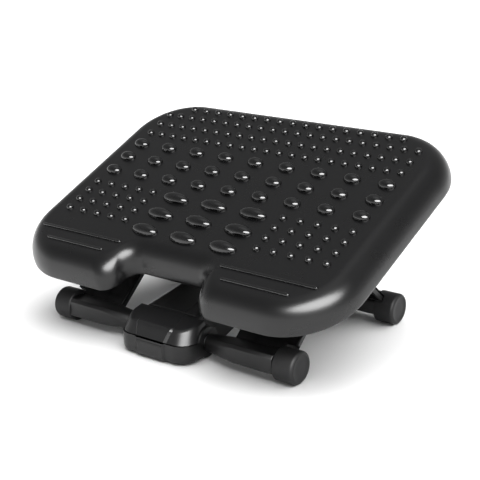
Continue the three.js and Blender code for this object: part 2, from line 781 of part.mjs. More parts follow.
// Upper half of the housing behind the pedal, an upturned trough
function makeSpineCover() {
  const rise = (spineRearTop - spineFrontTop) / (spineRearReach + seamReach);
  const outer = [
    point(-seamReach + seatGap, spineSplit + seatGap), point(spineRearReach, spineSplit + seatGap),
    point(spineRearReach, spineRearTop), point(-seamReach + seatGap, spineFrontTop),
  ];
  const low = spineSplit - cutOverrun;
  const roof = (y) => spineFrontTop + rise * (y + seamReach) - housingWall;
  const open = -seamReach - cutOverrun;
  const rearWall = spineRearReach - housingWall;
  const floor = [point(open, low), point(rearWall, low)];
  const inner = [...floor, point(rearWall, roof(rearWall)), point(open, roof(open))];
  const innerHalf = spineHalfWidth - housingWall;
  let solid = prismX(outer, -spineHalfWidth, spineHalfWidth).subtract(prismX(inner, -innerHalf, innerHalf));
  const strapSlot = strapWidth / 2 + runGap;
  const slotTop = strapBottom + strapThickness + runGap;
  const slotLow = new THREE.Vector3(-strapSlot, spineRearReach - housingWall - cutOverrun, low);
  solid = solid.subtract(box(slotLow, new THREE.Vector3(strapSlot, spineRearReach + cutOverrun, slotTop)));
  solid = solid.subtract(rodX(boreRadius + runGap, -housingHalfWidth, housingHalfWidth, 0, barHeight));
  for (const [x, y] of coverScrewPlaces()) {
    solid = solid.add(postZ(coverPostRadius, x, y, spineSplit + seatGap, roof(y) + jointSink, 12));
  }
  for (const [x, y] of coverScrewPlaces()) {
    const top = screwHeadSeat(y) + coverScrewLength + screwHeadHeight;
    solid = solid.subtract(postZ(screwRadius + seatGap, x, y, spineSplit - cutOverrun, top + seatGap, 10));
  }
  return meshFrom('spine_cover', solid, finishes.base);
}

// Steel pin across the housing
function makePin(name, half, y, z) {
  return meshFrom(name, rodX(pinRadius, -half, half, y, z, 16), finishes.steel);
}

// Pedal shell, or the hollow in it: a tapered cap over the front of the housing with a sloping tread
function pedalShell(inset) {
  const rise = pedalTopFrontHeight - partingHeight;
  const sideDraft = (housingHalfWidth - pedalTopHalfWidth) / rise;
  const frontDraft = (housingFrontReach - pedalTopFront) / rise;
  const panelDraft = panelTopSpread / rise;
  const back = inset > 0 ? cutOverrun : -seamReach;
  const low = partingHeight + partingGap - (inset > 0 ? cutOverrun : 0);
  const high = pedalTopRearHeight + cutOverrun;
  const level = (z) => {
    const up = z - partingHeight;
    const half = housingHalfWidth - sideDraft * up;
    return { z, outline: housingOutline(half, housingFrontReach - frontDraft * up, back, inset) };
  };
  const panelLevel = (z) => {
    const up = z - partingHeight;
    return { z, outline: panelPlan(panelHalfWidth + panelDraft * up, housingFrontReach - frontDraft * up) };
  };
  const slope = (pedalTopRearHeight - pedalTopFrontHeight) / (pedalTopFront - seamReach);
  const tread = (y) => pedalTopFrontHeight + (y + pedalTopFront) * slope - inset;
  const front = -housingFrontReach - panelProud - cutOverrun;
  const side = [
    point(front, low - cutOverrun), point(cutOverrun, low - cutOverrun),
    point(cutOverrun, tread(cutOverrun)), point(front, tread(front)),
  ];
  const under = prismX(side, -housingHalfWidth, housingHalfWidth);
  const cap = loftZ([level(low), level(high)]);
  if (inset > 0) return cap.intersect(under);
  return cap.add(loftZ([panelLevel(low), panelLevel(high)])).intersect(under);
}

// Foot pedal: shell, two hubs on its pin and the arm that lifts the lock lever
function makeFootPedal() {
  const whole = pedalShell(0);
  let solid = whole.subtract(pedalShell(housingWall));
  const reach = housingHalfWidth + cutOverrun;
  const hubTop = pedalTopRearHeight - housingWall + jointSink;
  const hub = [
    ...arc(-pedalPinSetback, pedalPinHeight, pedalHubRadius, -Math.PI, 0, 8),
    point(-pedalPinSetback + pedalHubRadius, hubTop), point(-pedalPinSetback - pedalHubRadius, hubTop),
  ];
  for (const side of [-1, 1]) {
    const span = spanX(side, pedalHubInner, pedalHubInner + pedalHubWidth);
    solid = solid.add(prismX(hub, ...span));
  }
  const armTop = pedalPinHeight + pedalHubRadius / 2;
  const armBottom = armTop - pedalArmThickness;
  const armFront = -pedalPinSetback - 2 * pedalHubRadius;
  const web = box(
    new THREE.Vector3(-pedalArmWidth / 2, armFront, armBottom),
    new THREE.Vector3(pedalArmWidth / 2, -seamReach - housingWall, pedalTopRearHeight));
  solid = solid.add(web.intersect(whole));
  const arm = box(
    new THREE.Vector3(-pedalArmWidth / 2, armFront, armBottom),
    new THREE.Vector3(pedalArmWidth / 2, pedalArmReach, armTop));
  solid = solid.add(arm);
  solid = solid.subtract(rodX(pinBore, -reach, reach, -pedalPinSetback, pedalPinHeight, 16));
  for (const side of [-1, 1]) {
    const clear = spanX(side, housingHalfWidth - barrelWidth - runGap, reach);
    solid = solid.subtract(rodX(barrelRadius + cutOverrun, ...clear, 0, barHeight));
    const ear = pedalHubInner + pedalHubWidth;
    const slot = spanX(side, ear, ear + pedalEarThickness + seatGap);
    solid = solid.subtract(rodX(pedalEarRadius + runGap, ...slot, -pedalPinSetback, pedalPinHeight));
  }
  return meshFrom('foot_pedal', solid, finishes.pedal);
}

// Lever on its own pin: the pedal's arm lifts its front, and its pad then leaves the strap
function makeLockLever() {
  const padTop = strapBottom + strapThickness + seatGap + brakePadThickness + seatGap;
  const bottom = pedalPinHeight + pedalHubRadius / 2 + seatGap;
  const front = leverPinReach - leverFrontReach;
  const body = [
    point(front, bottom), point(leverPinReach, bottom), point(leverPinReach, bottom + leverThickness),
    point(front, bottom + leverThickness),
  ];
  const span = [-leverWidth / 2, leverWidth / 2];
  let solid = prismX(body, ...span).add(rodX(leverHubRadius, ...span, leverPinReach, leverPinHeight));
  const padCentre = leverPinReach - padReach;
  const half = brakePadLength / 2;
  const nose = box(
    new THREE.Vector3(span[0], padCentre - half, padTop),
    new THREE.Vector3(span[1], padCentre + half, bottom + jointSink));
  solid = solid.add(nose);
  solid = solid.subtract(rodX(pinBore, -leverWidth, leverWidth, leverPinReach, leverPinHeight, 16));
  return meshFrom('lock_lever', solid, finishes.pedal);
}

// Rubber pad that grips the strap
function makeBrakePad() {
  const bottom = strapBottom + strapThickness + seatGap;
  const centre = leverPinReach - padReach;
  const half = brakePadLength / 2;
  const low = new THREE.Vector3(-leverWidth / 2, centre - half, bottom);
  const high = new THREE.Vector3(leverWidth / 2, centre + half, bottom + brakePadThickness);
  return meshFrom('brake_pad', box(low, high), finishes.rubber);
}

// Compression spring under the pedal: one wire wound up a helix
class SpringCurve extends THREE.Curve {
  getPoint(share, target = new THREE.Vector3()) {
    const angle = share * springTurns * 2 * Math.PI;
    const low = housingFloorClear + housingWall + springWire / 2 + seatGap;
    const rise = springTop - springWire / 2 - low;
    const along = springRadius * Math.sin(angle) - springReach;
    return target.set(springRadius * Math.cos(angle), along, low + rise * share);
  }
}

function makePedalSpring() {
  const section = new THREE.Shape(arc(0, 0, springWire / 2, 0, 2 * Math.PI, 6).slice(0, 6));
  const steps = springTurns * 10;
  const extrudePath = new SpringCurve();
  const wire = new THREE.ExtrudeGeometry(section, { steps, extrudePath, bevelEnabled: false });
  return meshFrom('pedal_spring', solidFrom(wire), finishes.steel);
}

// Flat strap between the rear bar and the housing, with a wide head that can't leave the guide
function makeHeightStrap() {
  const half = strapWidth / 2;
  const front = strapFrontReach;
  const headHalf = strapHeadWidth / 2;
  const top = strapBottom + strapThickness;
  const rear = barSpread;
  const head = box(
    new THREE.Vector3(-headHalf, front, strapBottom),
    new THREE.Vector3(headHalf, front + strapHeadLength, top));
  let solid = box(
    new THREE.Vector3(-half, front, strapBottom),
    new THREE.Vector3(half, rear, top)).add(head);
  solid = solid.add(rodX(strapHubRadius, -half, half, rear, barHeight));
  solid = solid.subtract(rodX(boreRadius, -half - cutOverrun, half + cutOverrun, rear, barHeight));
  return meshFrom('height_strap', solid, finishes.base);
}

// Collar on the rear bar beside the strap's hub
function makeStrapCollar(name, side) {
  const inner = strapWidth / 2 + seatGap;
  const span = spanX(side, inner, inner + collarWidth);
  const bore = rodX(boreRadius, span[0] - cutOverrun, span[1] + cutOverrun, 0, 0);
  return meshFrom(name, rodX(collarRadius, ...span, 0, 0).subtract(bore), finishes.base);
}

// Platform group: tilts about the axle
function platformGroup() {
  const group = new THREE.Group();
  group.add(makePlatform());
  group.add(makePivotBracket('pivot_bracket_left', -1));
  group.add(makePivotBracket('pivot_bracket_right', 1));
  for (const [label, side] of [['left', -1], ['right', 1]]) {
    bracketScrewPlaces(side).forEach(([x, y], i) => {
      group.add(makeScrew(`bracket_screw_${label}_${i + 1}`, x, y, flangeBottom - seatGap, screwLength));
    });
  }
  group.rotation.x = tiltAngle;
  group.position.z = axleHeight;
  return group;
}

function axleGroup() {
  const group = new THREE.Group();
  group.add(makeTopAxle(), makeAxleSpacer());
  group.add(makeAxleClip('axle_clip_left', -1), makeAxleClip('axle_clip_right', 1));
  group.position.z = axleHeight;
  return group;
}

// A pair of legs with its bar and rubber feet, standing on the bar
function legGroup(end, knuckles) {
  const group = new THREE.Group();
  const right = end === 'front' ? 1 : -1;
  group.add(makeLeg(`${end}_leg_left`, -right, knuckles));
  group.add(makeLeg(`${end}_leg_right`, right, knuckles));
  group.add(makeBar(`${end}_bar`));
  group.add(makeFoot(`${end}_foot_left`, -right));
  group.add(makeFoot(`${end}_foot_right`, right));
  group.position.set(0, -right * halfSpread, barHeight);
  if (end === 'rear') group.rotation.z = Math.PI;
  return group;
}

// Housing with the pedal, lever, spring and strap, measured back from the front bar
function housingGroup() {
  const group = new THREE.Group();
  const earReach = pedalHubInner + pedalHubWidth + pedalEarThickness;
  const leverEarReach = strapWidth / 2 + runGap + leverEarThickness;
  group.add(makeHousingBase(), makeSpineCover(), makeFootPedal());
  group.add(makePin('pedal_pin', earReach, -pedalPinSetback, pedalPinHeight));
  group.add(makePin('lever_pin', leverEarReach, leverPinReach, leverPinHeight));
  group.add(makeLockLever(), makeBrakePad(), makePedalSpring(), makeHeightStrap());
  coverScrewPlaces().forEach(([x, y], i) => {
    group.add(makeScrew(`cover_screw_${i + 1}`, x, y, screwHeadSeat(y) - seatGap, coverScrewLength));
  });
  group.position.y = -halfSpread;
  return group;
}

function collarGroup() {
  const group = new THREE.Group();
  group.add(makeStrapCollar('strap_collar_left', -1), makeStrapCollar('strap_collar_right', 1));
  group.position.set(0, halfSpread, barHeight);
  return group;
}

// The whole footrest, with the origin on the floor under the middle of its outline
const footrest = new THREE.Group();
footrest.add(platformGroup(), axleGroup());
footrest.add(legGroup('front', frontKnuckles), legGroup('rear', rearKnuckles));
footrest.add(housingGroup(), collarGroup());
footrest.updateMatrixWorld(true);
const reach = new THREE.Box3().setFromObject(footrest, true);
const middle = reach.getCenter(new THREE.Vector3());
footrest.position.set(-middle.x, -middle.y, -reach.min.z);

export default footrest;
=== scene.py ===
"""Tilting under-desk footrest, dressed for its photograph. Metres, +Z up, +Y away from the sitter."""
import json
import math

import bmesh
import bpy
from mathutils import Matrix, Vector


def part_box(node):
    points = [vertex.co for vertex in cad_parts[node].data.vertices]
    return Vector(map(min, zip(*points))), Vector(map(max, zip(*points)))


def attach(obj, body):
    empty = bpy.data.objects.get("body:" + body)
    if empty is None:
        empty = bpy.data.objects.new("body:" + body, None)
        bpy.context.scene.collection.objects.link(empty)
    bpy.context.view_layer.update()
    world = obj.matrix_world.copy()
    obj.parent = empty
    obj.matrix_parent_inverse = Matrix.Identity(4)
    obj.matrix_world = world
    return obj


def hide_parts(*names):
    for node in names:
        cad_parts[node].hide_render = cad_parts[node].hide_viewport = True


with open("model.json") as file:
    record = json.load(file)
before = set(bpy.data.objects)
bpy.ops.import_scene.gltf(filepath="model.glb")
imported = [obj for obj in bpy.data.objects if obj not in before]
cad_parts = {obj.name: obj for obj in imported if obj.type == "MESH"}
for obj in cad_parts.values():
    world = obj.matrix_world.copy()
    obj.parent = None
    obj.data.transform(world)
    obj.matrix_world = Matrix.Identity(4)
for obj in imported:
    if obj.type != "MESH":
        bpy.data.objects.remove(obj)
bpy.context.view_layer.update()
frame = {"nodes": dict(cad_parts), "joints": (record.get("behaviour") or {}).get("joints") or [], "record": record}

# Platform: one thin moulding of satin black plastic, a flat deck with a rolled lip and, in its front edge,
# an S-sided bay for the pedal. Its skin is lofted from the bottom rim over the lip to the deck and back down
# inside; stiffening ribs and two screw pads stand on its underside.
joint_places = {joint["name"]: Vector(joint["pos_m"]) for joint in frame["joints"]}
axle = joint_places["platform_tilt"]
deck_normal = Vector(next(m for m in frame["record"]["mounts"] if m["name"] == "foot_surface")["axis"])
deck_angle = math.atan2(-deck_normal.y, deck_normal.z)
deck_frame = Matrix.Translation(axle) @ Matrix.Rotation(deck_angle, 4, "X")


def deck_box(node):
    """A CAD node's lowest and highest corner along the tilted deck's own directions, from the axle."""
    points = [deck_frame.inverted() @ v.co for v in frame["nodes"][node].data.vertices]
    return [Vector([pick(p[i] for p in points) for i in range(3)]) for pick in (min, max)]


deck_low, deck_high = deck_box("platform")
deck_slack = 0.0002
deck_half = deck_high.x - deck_slack
rear_rim = deck_high.y - deck_slack
front_rim = deck_low.y + deck_slack
deck_rise = 0.0475
deck_wall = 0.003
lip_height = 0.033
lip_inset = 0.026
corner_radius = 0.080
bay_depth = 0.041
bay_rim_widths = (0.076, 0.160)
bay_crease_widths = (0.080, 0.200)
rim_round = 0.0008
deck_margin = lip_inset + 0.001
roof = deck_rise - deck_wall


def arc(centre_x, centre_y, radius, start, end, steps):
    turn = (end - start) / steps
    angles = [start + turn * i for i in range(steps + 1)]
    return [Vector((centre_x + radius * math.cos(a), centre_y + radius * math.sin(a))) for a in angles]


def level(outline, z):
    return [Vector((p.x, p.y, z)) for p in outline]


def deck_outline(inset, bay_widths):
    """Rounded rectangle with the bay's S-shaped flanks, drawn as its right half and mirrored."""
    quarter = math.pi / 2
    front = front_rim + inset
    back = front + bay_depth
    start = bay_widths[0] / 2
    run = bay_widths[1] / 2 - start
    turn = 2 * math.atan(bay_depth / run)
    bend = run / (2 * math.sin(turn))
    side = deck_half - inset
    corner = corner_radius - inset
    right = [Vector((0, back))]
    right += arc(start, back - bend, bend, quarter, quarter - turn, 14)
    right += arc(start + run, front + bend, bend, 3 * quarter - turn, 3 * quarter, 14)[1:]
    right += arc(side - corner, front + corner, corner, -quarter, 0, 32)
    right += arc(side - corner, rear_rim - inset - corner, corner, 0, quarter, 32)
    right += [Vector((0, rear_rim - inset))]
    return right + [Vector((-p.x, p.y)) for p in reversed(right[1:-1])]


def lip_rings(wall):
    """Rings of the rolled lip from the bottom rim to the flat deck, on its outside or one wall further in."""
    rim = deck_outline(wall, bay_rim_widths)
    crease = deck_outline(lip_inset, bay_crease_widths)
    bottom = deck_rise - lip_height
    rise = lip_height - wall
    rings = []
    steps = 16
    for i in range(1, steps + 1):
        angle = math.pi / 2 * i / steps
        share = 1 - math.cos(angle)
        drawn_in = [r.lerp(c, share) for r, c in zip(rim, crease)]
        rings.append(level(drawn_in, bottom + rise * math.sin(angle)))
    return rings


def lofted(rings, looped=False):
    """Closed skin through rings of equal counts; its end rings are filled, or joined to each other."""
    shape = bmesh.new()
    grid = [[shape.verts.new(p) for p in ring] for ring in rings]
    count = len(grid[0])
    for low, high in zip(grid, grid[1:] + grid[:1] if looped else grid[1:]):
        for i in range(count):
            j = (i + 1) % count
            shape.faces.new((low[i], low[j], high[j], high[i]))
    if not looped:
        shape.faces.new(list(reversed(grid[0])))
        shape.faces.new(grid[-1])
    bmesh.ops.recalc_face_normals(shape, faces=shape.faces)
    return shape


def slab(low, high, place=None):
    """Box between two corners, put in place by a matrix that may mirror it, hence the fresh normals."""
    shape = bmesh.new()
    bmesh.ops.create_cube(shape, size=1)
    low, high = Vector(low), Vector(high)
    for vert in shape.verts:
        vert.co = Vector([low[i] + (high[i] - low[i]) * (vert.co[i] + 0.5) for i in range(3)])
    if place is not None:
        shape.transform(place)
        shape.normal_update()
    bmesh.ops.recalc_face_normals(shape, faces=shape.faces)
    return shape


def piece(name, shapes, sharp=35, edge=0.0):
    """One object from several shapes, smooth apart from its sharp edges, which can be rounded by a bevel."""
    whole = bmesh.new()
    for shape in shapes:
        part = bpy.data.meshes.new("part")
        shape.to_mesh(part)
        shape.free()
        whole.from_mesh(part)
        bpy.data.meshes.remove(part)
    mesh = bpy.data.meshes.new(name)
    whole.to_mesh(mesh)
    whole.free()
    mesh.shade_smooth()
    mesh.set_sharp_from_angle(angle=math.radians(sharp))
    made = bpy.data.objects.new(name, mesh)
    bpy.context.scene.collection.objects.link(made)
    if edge:
        bevel = made.modifiers.new("rounded edges", "BEVEL")
        bevel.width = edge
        bevel.segments = 2
        bevel.limit_method = "ANGLE"
        bevel.angle_limit = math.radians(sharp)
        bevel.use_clamp_overlap = False
        bevel.harden_normals = True
    return made


def wired(tree, kind, inputs, operation=None):
    """A new node's outputs, once its inputs are linked to other nodes' outputs or set to values."""
    node = tree.nodes.new(kind)
    if operation:
        node.operation = operation
    for name, source in inputs.items():
        if isinstance(source, bpy.types.NodeSocket):
            tree.links.new(source, node.inputs[name])
        else:
            node.inputs[name].default_value = source
    return node.outputs


def grain(tree, waves, detail):
    """Noise on the piece's own coordinates, with so many waves a metre along each axis."""
    place = wired(tree, "ShaderNodeTexCoord", {})["Object"]
    stretched = wired(tree, "ShaderNodeMapping", {"Vector": place, "Scale": waves})["Vector"]
    return wired(tree, "ShaderNodeTexNoise", {"Vector": stretched, "Scale": 1, "Detail": detail})["Fac"]


def finish(name, colour, waves, depth, smoothest, roughest, clouds=None):
    """Material with a fine relief, its roughness drifting between two values in clouds or with the relief."""
    material = bpy.data.materials.new(name)
    material.use_nodes = True
    tree = material.node_tree
    relief = grain(tree, waves, 3)
    drift = grain(tree, clouds, 4) if clouds else relief
    normal = wired(tree, "ShaderNodeBump", {"Height": relief, "Distance": depth})["Normal"]
    limits = {"Value": drift, "To Min": smoothest, "To Max": roughest}
    gloss = wired(tree, "ShaderNodeMapRange", limits)["Result"]
    surface = tree.nodes["Principled BSDF"]
    surface.inputs["Base Color"].default_value = (*colour, 1)
    tree.links.new(normal, surface.inputs["Normal"])
    tree.links.new(gloss, surface.inputs["Roughness"])
    return material


def plastic(name, colour, roughness, grain_size, depth, mottle, refraction=1.5):
    """Moulded plastic: a fine cast grain from the tool, with the gloss varying a little over the surface."""
    waves = [1 / grain_size] * 3
    material = finish(name, colour, waves, depth, roughness - mottle, roughness + mottle, [28] * 3)
    material.node_tree.nodes["Principled BSDF"].inputs["IOR"].default_value = refraction
    return material


def fit(made, body, slot, material, *nodes):
    """Gives a piece its finish and puts it on its body, in the place of the CAD nodes that it stands for."""
    made.data.materials.clear()
    made.data.materials.append(material)
    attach(made, body)
    if nodes:
        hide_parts(*nodes)


bottom = deck_rise - lip_height
rim_edge = [level(deck_outline(inset, bay_rim_widths), bottom + lift) for inset, lift in (
    (0, rim_round), (rim_round * 0.3, rim_round * 0.3), (rim_round, 0), (deck_wall - rim_round, 0),
    (deck_wall, rim_round),
)]
deck_edge, roof_edge = (level(deck_outline(deck_margin, bay_crease_widths), z) for z in (deck_rise, roof))
deck_shapes = [lofted([deck_edge, *reversed(lip_rings(0)), *rim_edge, *lip_rings(deck_wall), roof_edge])]

stiffener_depth = 0.009
stiffener_wall = 0.0024
stiffener_pitch = 0.043
cross_setback = 0.130
overlap = 0.001
pad_size = (0.046, 0.064)
bracket_low, bracket_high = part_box("pivot_bracket_right")
bracket_centre = (bracket_low.x + bracket_high.x) / 2


def cut(shapes, tools, operation="DIFFERENCE"):
    """Each shape with the tools taken out of it, or trimmed to them."""
    tool = piece("cutting tool", tools, 30)
    results = []
    for shape in shapes:
        body = piece("body to cut", [shape], 30)
        modifier = body.modifiers.new("cut", "BOOLEAN")
        modifier.operation = operation
        modifier.solver = "EXACT"
        modifier.use_self = True
        modifier.object = tool
        mesh = bpy.data.meshes.new_from_object(body.evaluated_get(bpy.context.evaluated_depsgraph_get()))
        result = bmesh.new()
        result.from_mesh(mesh)
        results.append(result)
        bpy.data.objects.remove(body)
        bpy.data.meshes.remove(mesh)
    bpy.data.objects.remove(tool)
    return results


lattice = []
rib_low = roof - stiffener_depth
rib_high = roof + overlap
rib_half = stiffener_wall / 2
rib_count = math.floor(deck_half / stiffener_pitch)
for i in range(-rib_count, rib_count + 1):
    x = i * stiffener_pitch
    lattice.append(slab((x - rib_half, front_rim, rib_low), (x + rib_half, rear_rim, rib_high)))
for y in (rear_rim - cross_setback, front_rim + cross_setback):
    lattice.append(slab((-deck_half, y - rib_half, rib_low), (deck_half, y + rib_half, rib_high)))
trim_rings = lip_rings(deck_wall / 2)
trim = lofted([level(trim_rings[0], bottom), *trim_rings])
deck_shapes += cut(lattice, [trim], "INTERSECT")
for side in (-1, 1):
    middle = Vector((side * bracket_centre, 0, 0))
    corner = Vector((*pad_size, 0)) / 2
    low, high = (Vector((0, 0, z)) for z in (rib_low, rib_high))
    deck_shapes.append(slab(middle - corner + low, middle + corner + high))
for shape in deck_shapes:
    shape.transform(deck_frame)
deck_plastic = plastic("satin black platform plastic", (0.0028, 0.0028, 0.0031), 0.28, 0.0009, 0.000012, 0.03)
fit(piece("platform_moulding", deck_shapes, 40), "platform", "platform_plastic", deck_plastic, "platform")

# Massage bumps: rows of small round domes and of two sizes of oval, polished where the deck is satin. One
# bump of each kind is repeated in its rows by a node tree, and all are one moulding with the deck.
dome_size = (0.0092, 0.0092, 0.0046)
medium_size = (0.022, 0.0154, 0.0070)
large_size = (0.037, 0.017, 0.0084)
bump_root = 0.0006
bump_gloss = plastic("polished black bumps", (0.004, 0.004, 0.0043), 0.12, 0.003, 0.000003, 0.01, 1.62)


def bump_shape(size, facets, rings):
    """Half an ellipsoid with a tiny flat top, whose straight foot is sunk into the deck."""
    steps = [math.pi / 2 * i / rings for i in range(1, rings)]
    profile = [(1.0, -bump_root), (1.0, 0.0)]
    profile += [(math.cos(a), size[2] * math.sin(a)) for a in steps] + [(0.04, size[2])]
    circle = arc(0, 0, 1, 0, math.tau, facets)[1:]
    half = Vector(size[:2]) / 2
    return lofted([level([share * p * half for p in circle], height) for share, height in profile])


def pattern_tree():
    """Repeats its own object's mesh in columns and rows, then lays the field on the tilted deck."""
    tree = bpy.data.node_groups.new("field of moulded details", "GeometryNodeTree")
    for label, kind in (
        ("Geometry", "Geometry"), ("Columns", "Int"), ("Rows", "Int"), ("Column Pitch", "Float"),
        ("Row Pitch", "Float"), ("Centre", "Vector"), ("Tilt", "Vector"), ("Axle", "Vector"),
        ("Finish", "Material"),
    ):
        tree.interface.new_socket(label, in_out="INPUT", socket_type=f"NodeSocket{kind}")
    tree.interface.new_socket("Geometry", in_out="OUTPUT", socket_type="NodeSocketGeometry")
    given = tree.nodes.new("NodeGroupInput").outputs

    def centred_line(count, pitch, axis):
        step = wired(tree, "ShaderNodeCombineXYZ", {axis: given[pitch]})[0]
        gaps = wired(tree, "ShaderNodeMath", {0: given[count], 1: -0.5, 2: 0.5}, "MULTIPLY_ADD")[0]
        first = wired(tree, "ShaderNodeVectorMath", {0: step, "Scale": gaps}, "SCALE")[0]
        places = {"Count": given[count], "Start Location": first, "Offset": step}
        return wired(tree, "GeometryNodeMeshLine", places)["Mesh"]

    shape = given["Geometry"]
    for kind, taken, inputs in (
        ("InstanceOnPoints", "Instance", {"Points": centred_line("Columns", "Column Pitch", "X")}),
        ("InstanceOnPoints", "Instance", {"Points": centred_line("Rows", "Row Pitch", "Y")}),
        ("Transform", "Geometry", {"Translation": given["Centre"]}),
        ("Transform", "Geometry", {"Rotation": given["Tilt"], "Translation": given["Axle"]}),
        ("RealizeInstances", "Geometry", {}),
        ("SetMaterial", "Geometry", {"Material": given["Finish"]}),
    ):
        shape = wired(tree, f"GeometryNode{kind}", {taken: shape, **inputs})[0]
    wired(tree, "NodeGroupOutput", {"Geometry": shape})
    return tree


detail_field = pattern_tree()


def repeated(shape, columns, rows, column_pitch, row_pitch, centre, material, tilt=deck_angle, origin=axle):
    """The shape's field as a plain mesh in a bmesh, ready to be joined into one piece."""
    model = piece("repeated detail", [shape], 30)
    modifier = model.modifiers.new("field", "NODES")
    modifier.node_group = detail_field
    values = {
        "Columns": columns, "Rows": rows, "Column Pitch": column_pitch, "Row Pitch": row_pitch,
        "Centre": centre, "Tilt": (tilt, 0, 0), "Axle": origin, "Finish": material,
    }
    for item in detail_field.interface.items_tree:
        if item.in_out == "INPUT" and item.name in values:
            modifier[item.identifier] = values[item.name]
    ready = model.evaluated_get(bpy.context.evaluated_depsgraph_get())
    mesh = bpy.data.meshes.new_from_object(ready)
    field = bmesh.new()
    field.from_mesh(mesh)
    bpy.data.objects.remove(model)
    bpy.data.meshes.remove(mesh)
    return field


bump_fields = (
    # Size, facets, rings, columns, rows, pitches across and along, setback of the rearmost row, middle
    (dome_size, 24, 8, 17, 1, 0.0194, 0, 0.0289, 0),
    (dome_size, 24, 8, 21, 3, 0.0184, 0.0213, 0.0472, 0),
    (medium_size, 40, 12, 9, 3, 0.0449, 0.0293, 0.1147, 0),
    (large_size, 48, 14, 3, 3, 0.0561, 0.03065, 0.2038, 0),
    (dome_size, 24, 8, 5, 4, 0.02245, 0.0183, 0.1997, -0.1397),
    (dome_size, 24, 8, 5, 4, 0.02245, 0.0183, 0.1997, 0.1397),
)
bumps = []
for size, facets, rings, columns, rows, wide, deep, setback, middle in bump_fields:
    centre = (middle, rear_rim + deck_slack - setback - deep * (rows - 1) / 2, deck_rise)
    bumps.append(repeated(bump_shape(size, facets, rings), columns, rows, wide, deep, centre, bump_gloss))
fit(piece("massage_bumps", bumps, 60), "platform", "platform_plastic", bump_gloss, "platform")

# Toe ribs: two thin round-topped ribs on each side of the bay, where the toes find the front edge. They are
# part of the platform moulding and as polished as the bumps.
toe_rib_width = 0.0040
toe_rib_height = 0.0022
toe_rib_rows = ((0.0320, 0.0865, 0.1706), (0.0504, 0.0736, 0.1940))


def toe_rib(start, end, y):
    """Rib between two places across, closed by rings that draw in as they rise."""
    rings = []
    quarter = math.pi / 2
    foot = -bump_root / toe_rib_height
    for share, rise in ((0, foot), (0, 0.2), (0.08, 0.5), (0.22, 0.75), (0.42, 0.92), (0.65, 1)):
        radius = toe_rib_width / 2 * (1 - share)
        outline = arc(start, y, radius, quarter, 3 * quarter, 10) + arc(end, y, radius, -quarter, quarter, 10)
        rings.append(level(outline, deck_rise + rise * toe_rib_height))
    return lofted(rings)


toe_ribs = []
for setback, inner, outer in toe_rib_rows:
    toe_ribs.append(toe_rib(inner, outer, front_rim + setback))
    toe_ribs.append(toe_rib(-outer, -inner, front_rim + setback))
for rib in toe_ribs:
    rib.transform(deck_frame)
fit(piece("toe_ribs", toe_ribs, 50), "platform", "platform_plastic", bump_gloss, "platform")

# Pivot brackets: two saddle brackets screwed under the platform, whose ears carry the axle. Glass-filled
# black nylon, made from the solids of the same name with their flats merged and their edges rounded.
base_plastic = plastic("matt black base plastic", (0.005, 0.005, 0.0054), 0.40, 0.0007, 0.00002, 0.04, 1.44)


def refined(node):
    """A CAD solid's own shape with its loose triangles merged into whole faces."""
    shape = bmesh.new()
    shape.from_mesh(frame["nodes"][node].data)
    bmesh.ops.remove_doubles(shape, verts=shape.verts, dist=0.00001)
    bmesh.ops.dissolve_limit(shape, angle_limit=math.radians(0.4), verts=shape.verts, edges=shape.edges)
    bmesh.ops.recalc_face_normals(shape, faces=shape.faces)
    return shape


for side in ("left", "right"):
    bracket = piece(f"bracket_{side}", [refined(f"pivot_bracket_{side}")], 35, 0.0005)
    fit(bracket, "platform", "base_plastic", base_plastic, f"pivot_bracket_{side}")

# Bracket screws: zinc-plated pan heads with a cross recess, four under each bracket, driven up into the
# pads. One screw is made and a node tree repeats it in its two patterns.
screw_head = (0.0036, 0.0024)
screw_shank = 0.0018
cross_half = 0.0004
upright = Matrix.Rotation(-math.pi / 2, 4, "Y")


def metal(name, colour, roughness, waves):
    """Plated steel: fine drawn lines along the piece break up its shine."""
    material = finish(name, colour, waves, 0.00001, roughness - 0.08, roughness + 0.10)
    material.node_tree.nodes["Principled BSDF"].inputs["Metallic"].default_value = 1
    return material


screw_steel = metal("zinc-plated steel", (0.56, 0.57, 0.58), 0.32, (900, 900, 900))


def turned(profile, facets, place, looped=False):
    """Shape turned about its own X axis from (radius, distance along X) pairs, then put in place."""
    rings = [[(along, *p) for p in arc(0, 0, radius, 0, math.tau, facets)[1:]] for radius, along in profile]
    shape = lofted(rings, looped)
    shape.transform(place)
    return shape


def screw_shape(length):
    """Pan-head screw that points up: its head hangs below zero, with a cross cut in it."""
    radius, height = screw_head
    head = [(radius * 0.35, -height), (radius * 0.75, -height * 0.93), (radius * 0.95, -height * 0.7)]
    head += [(radius, -height * 0.4), (radius, 0)]
    shank = [(screw_shank, 0), (screw_shank, length - screw_shank / 2), (screw_shank / 2, length)]
    arm = radius * 0.55
    arms = ((arm, cross_half), (cross_half, arm))
    cross = [slab((-x, -y, -height * 1.2), (x, y, -height * 0.45)) for x, y in arms]
    return cut([turned(head + shank, 24, upright)], cross)[0]


bracket_screws = []
for side in ("left", "right"):
    boxes = [deck_box(f"bracket_screw_{side}_{i}") for i in (1, 2, 3, 4)]
    middles = [(low + high) / 2 for low, high in boxes]
    wide, deep = (max(m[i] for m in middles) - min(m[i] for m in middles) for i in (0, 1))
    seat = boxes[0][0].z + screw_head[1]
    centre = (sum(m.x for m in middles) / 4, sum(m.y for m in middles) / 4, seat)
    shape = screw_shape(boxes[0][1].z - seat)
    bracket_screws.append(repeated(shape, 2, 2, wide, deep, centre, screw_steel))
names = [f"bracket_screw_{side}_{i}" for side in ("left", "right") for i in (1, 2, 3, 4)]
fit(piece("bracket_screws", bracket_screws, 30), "platform", "steel", screw_steel, *names)

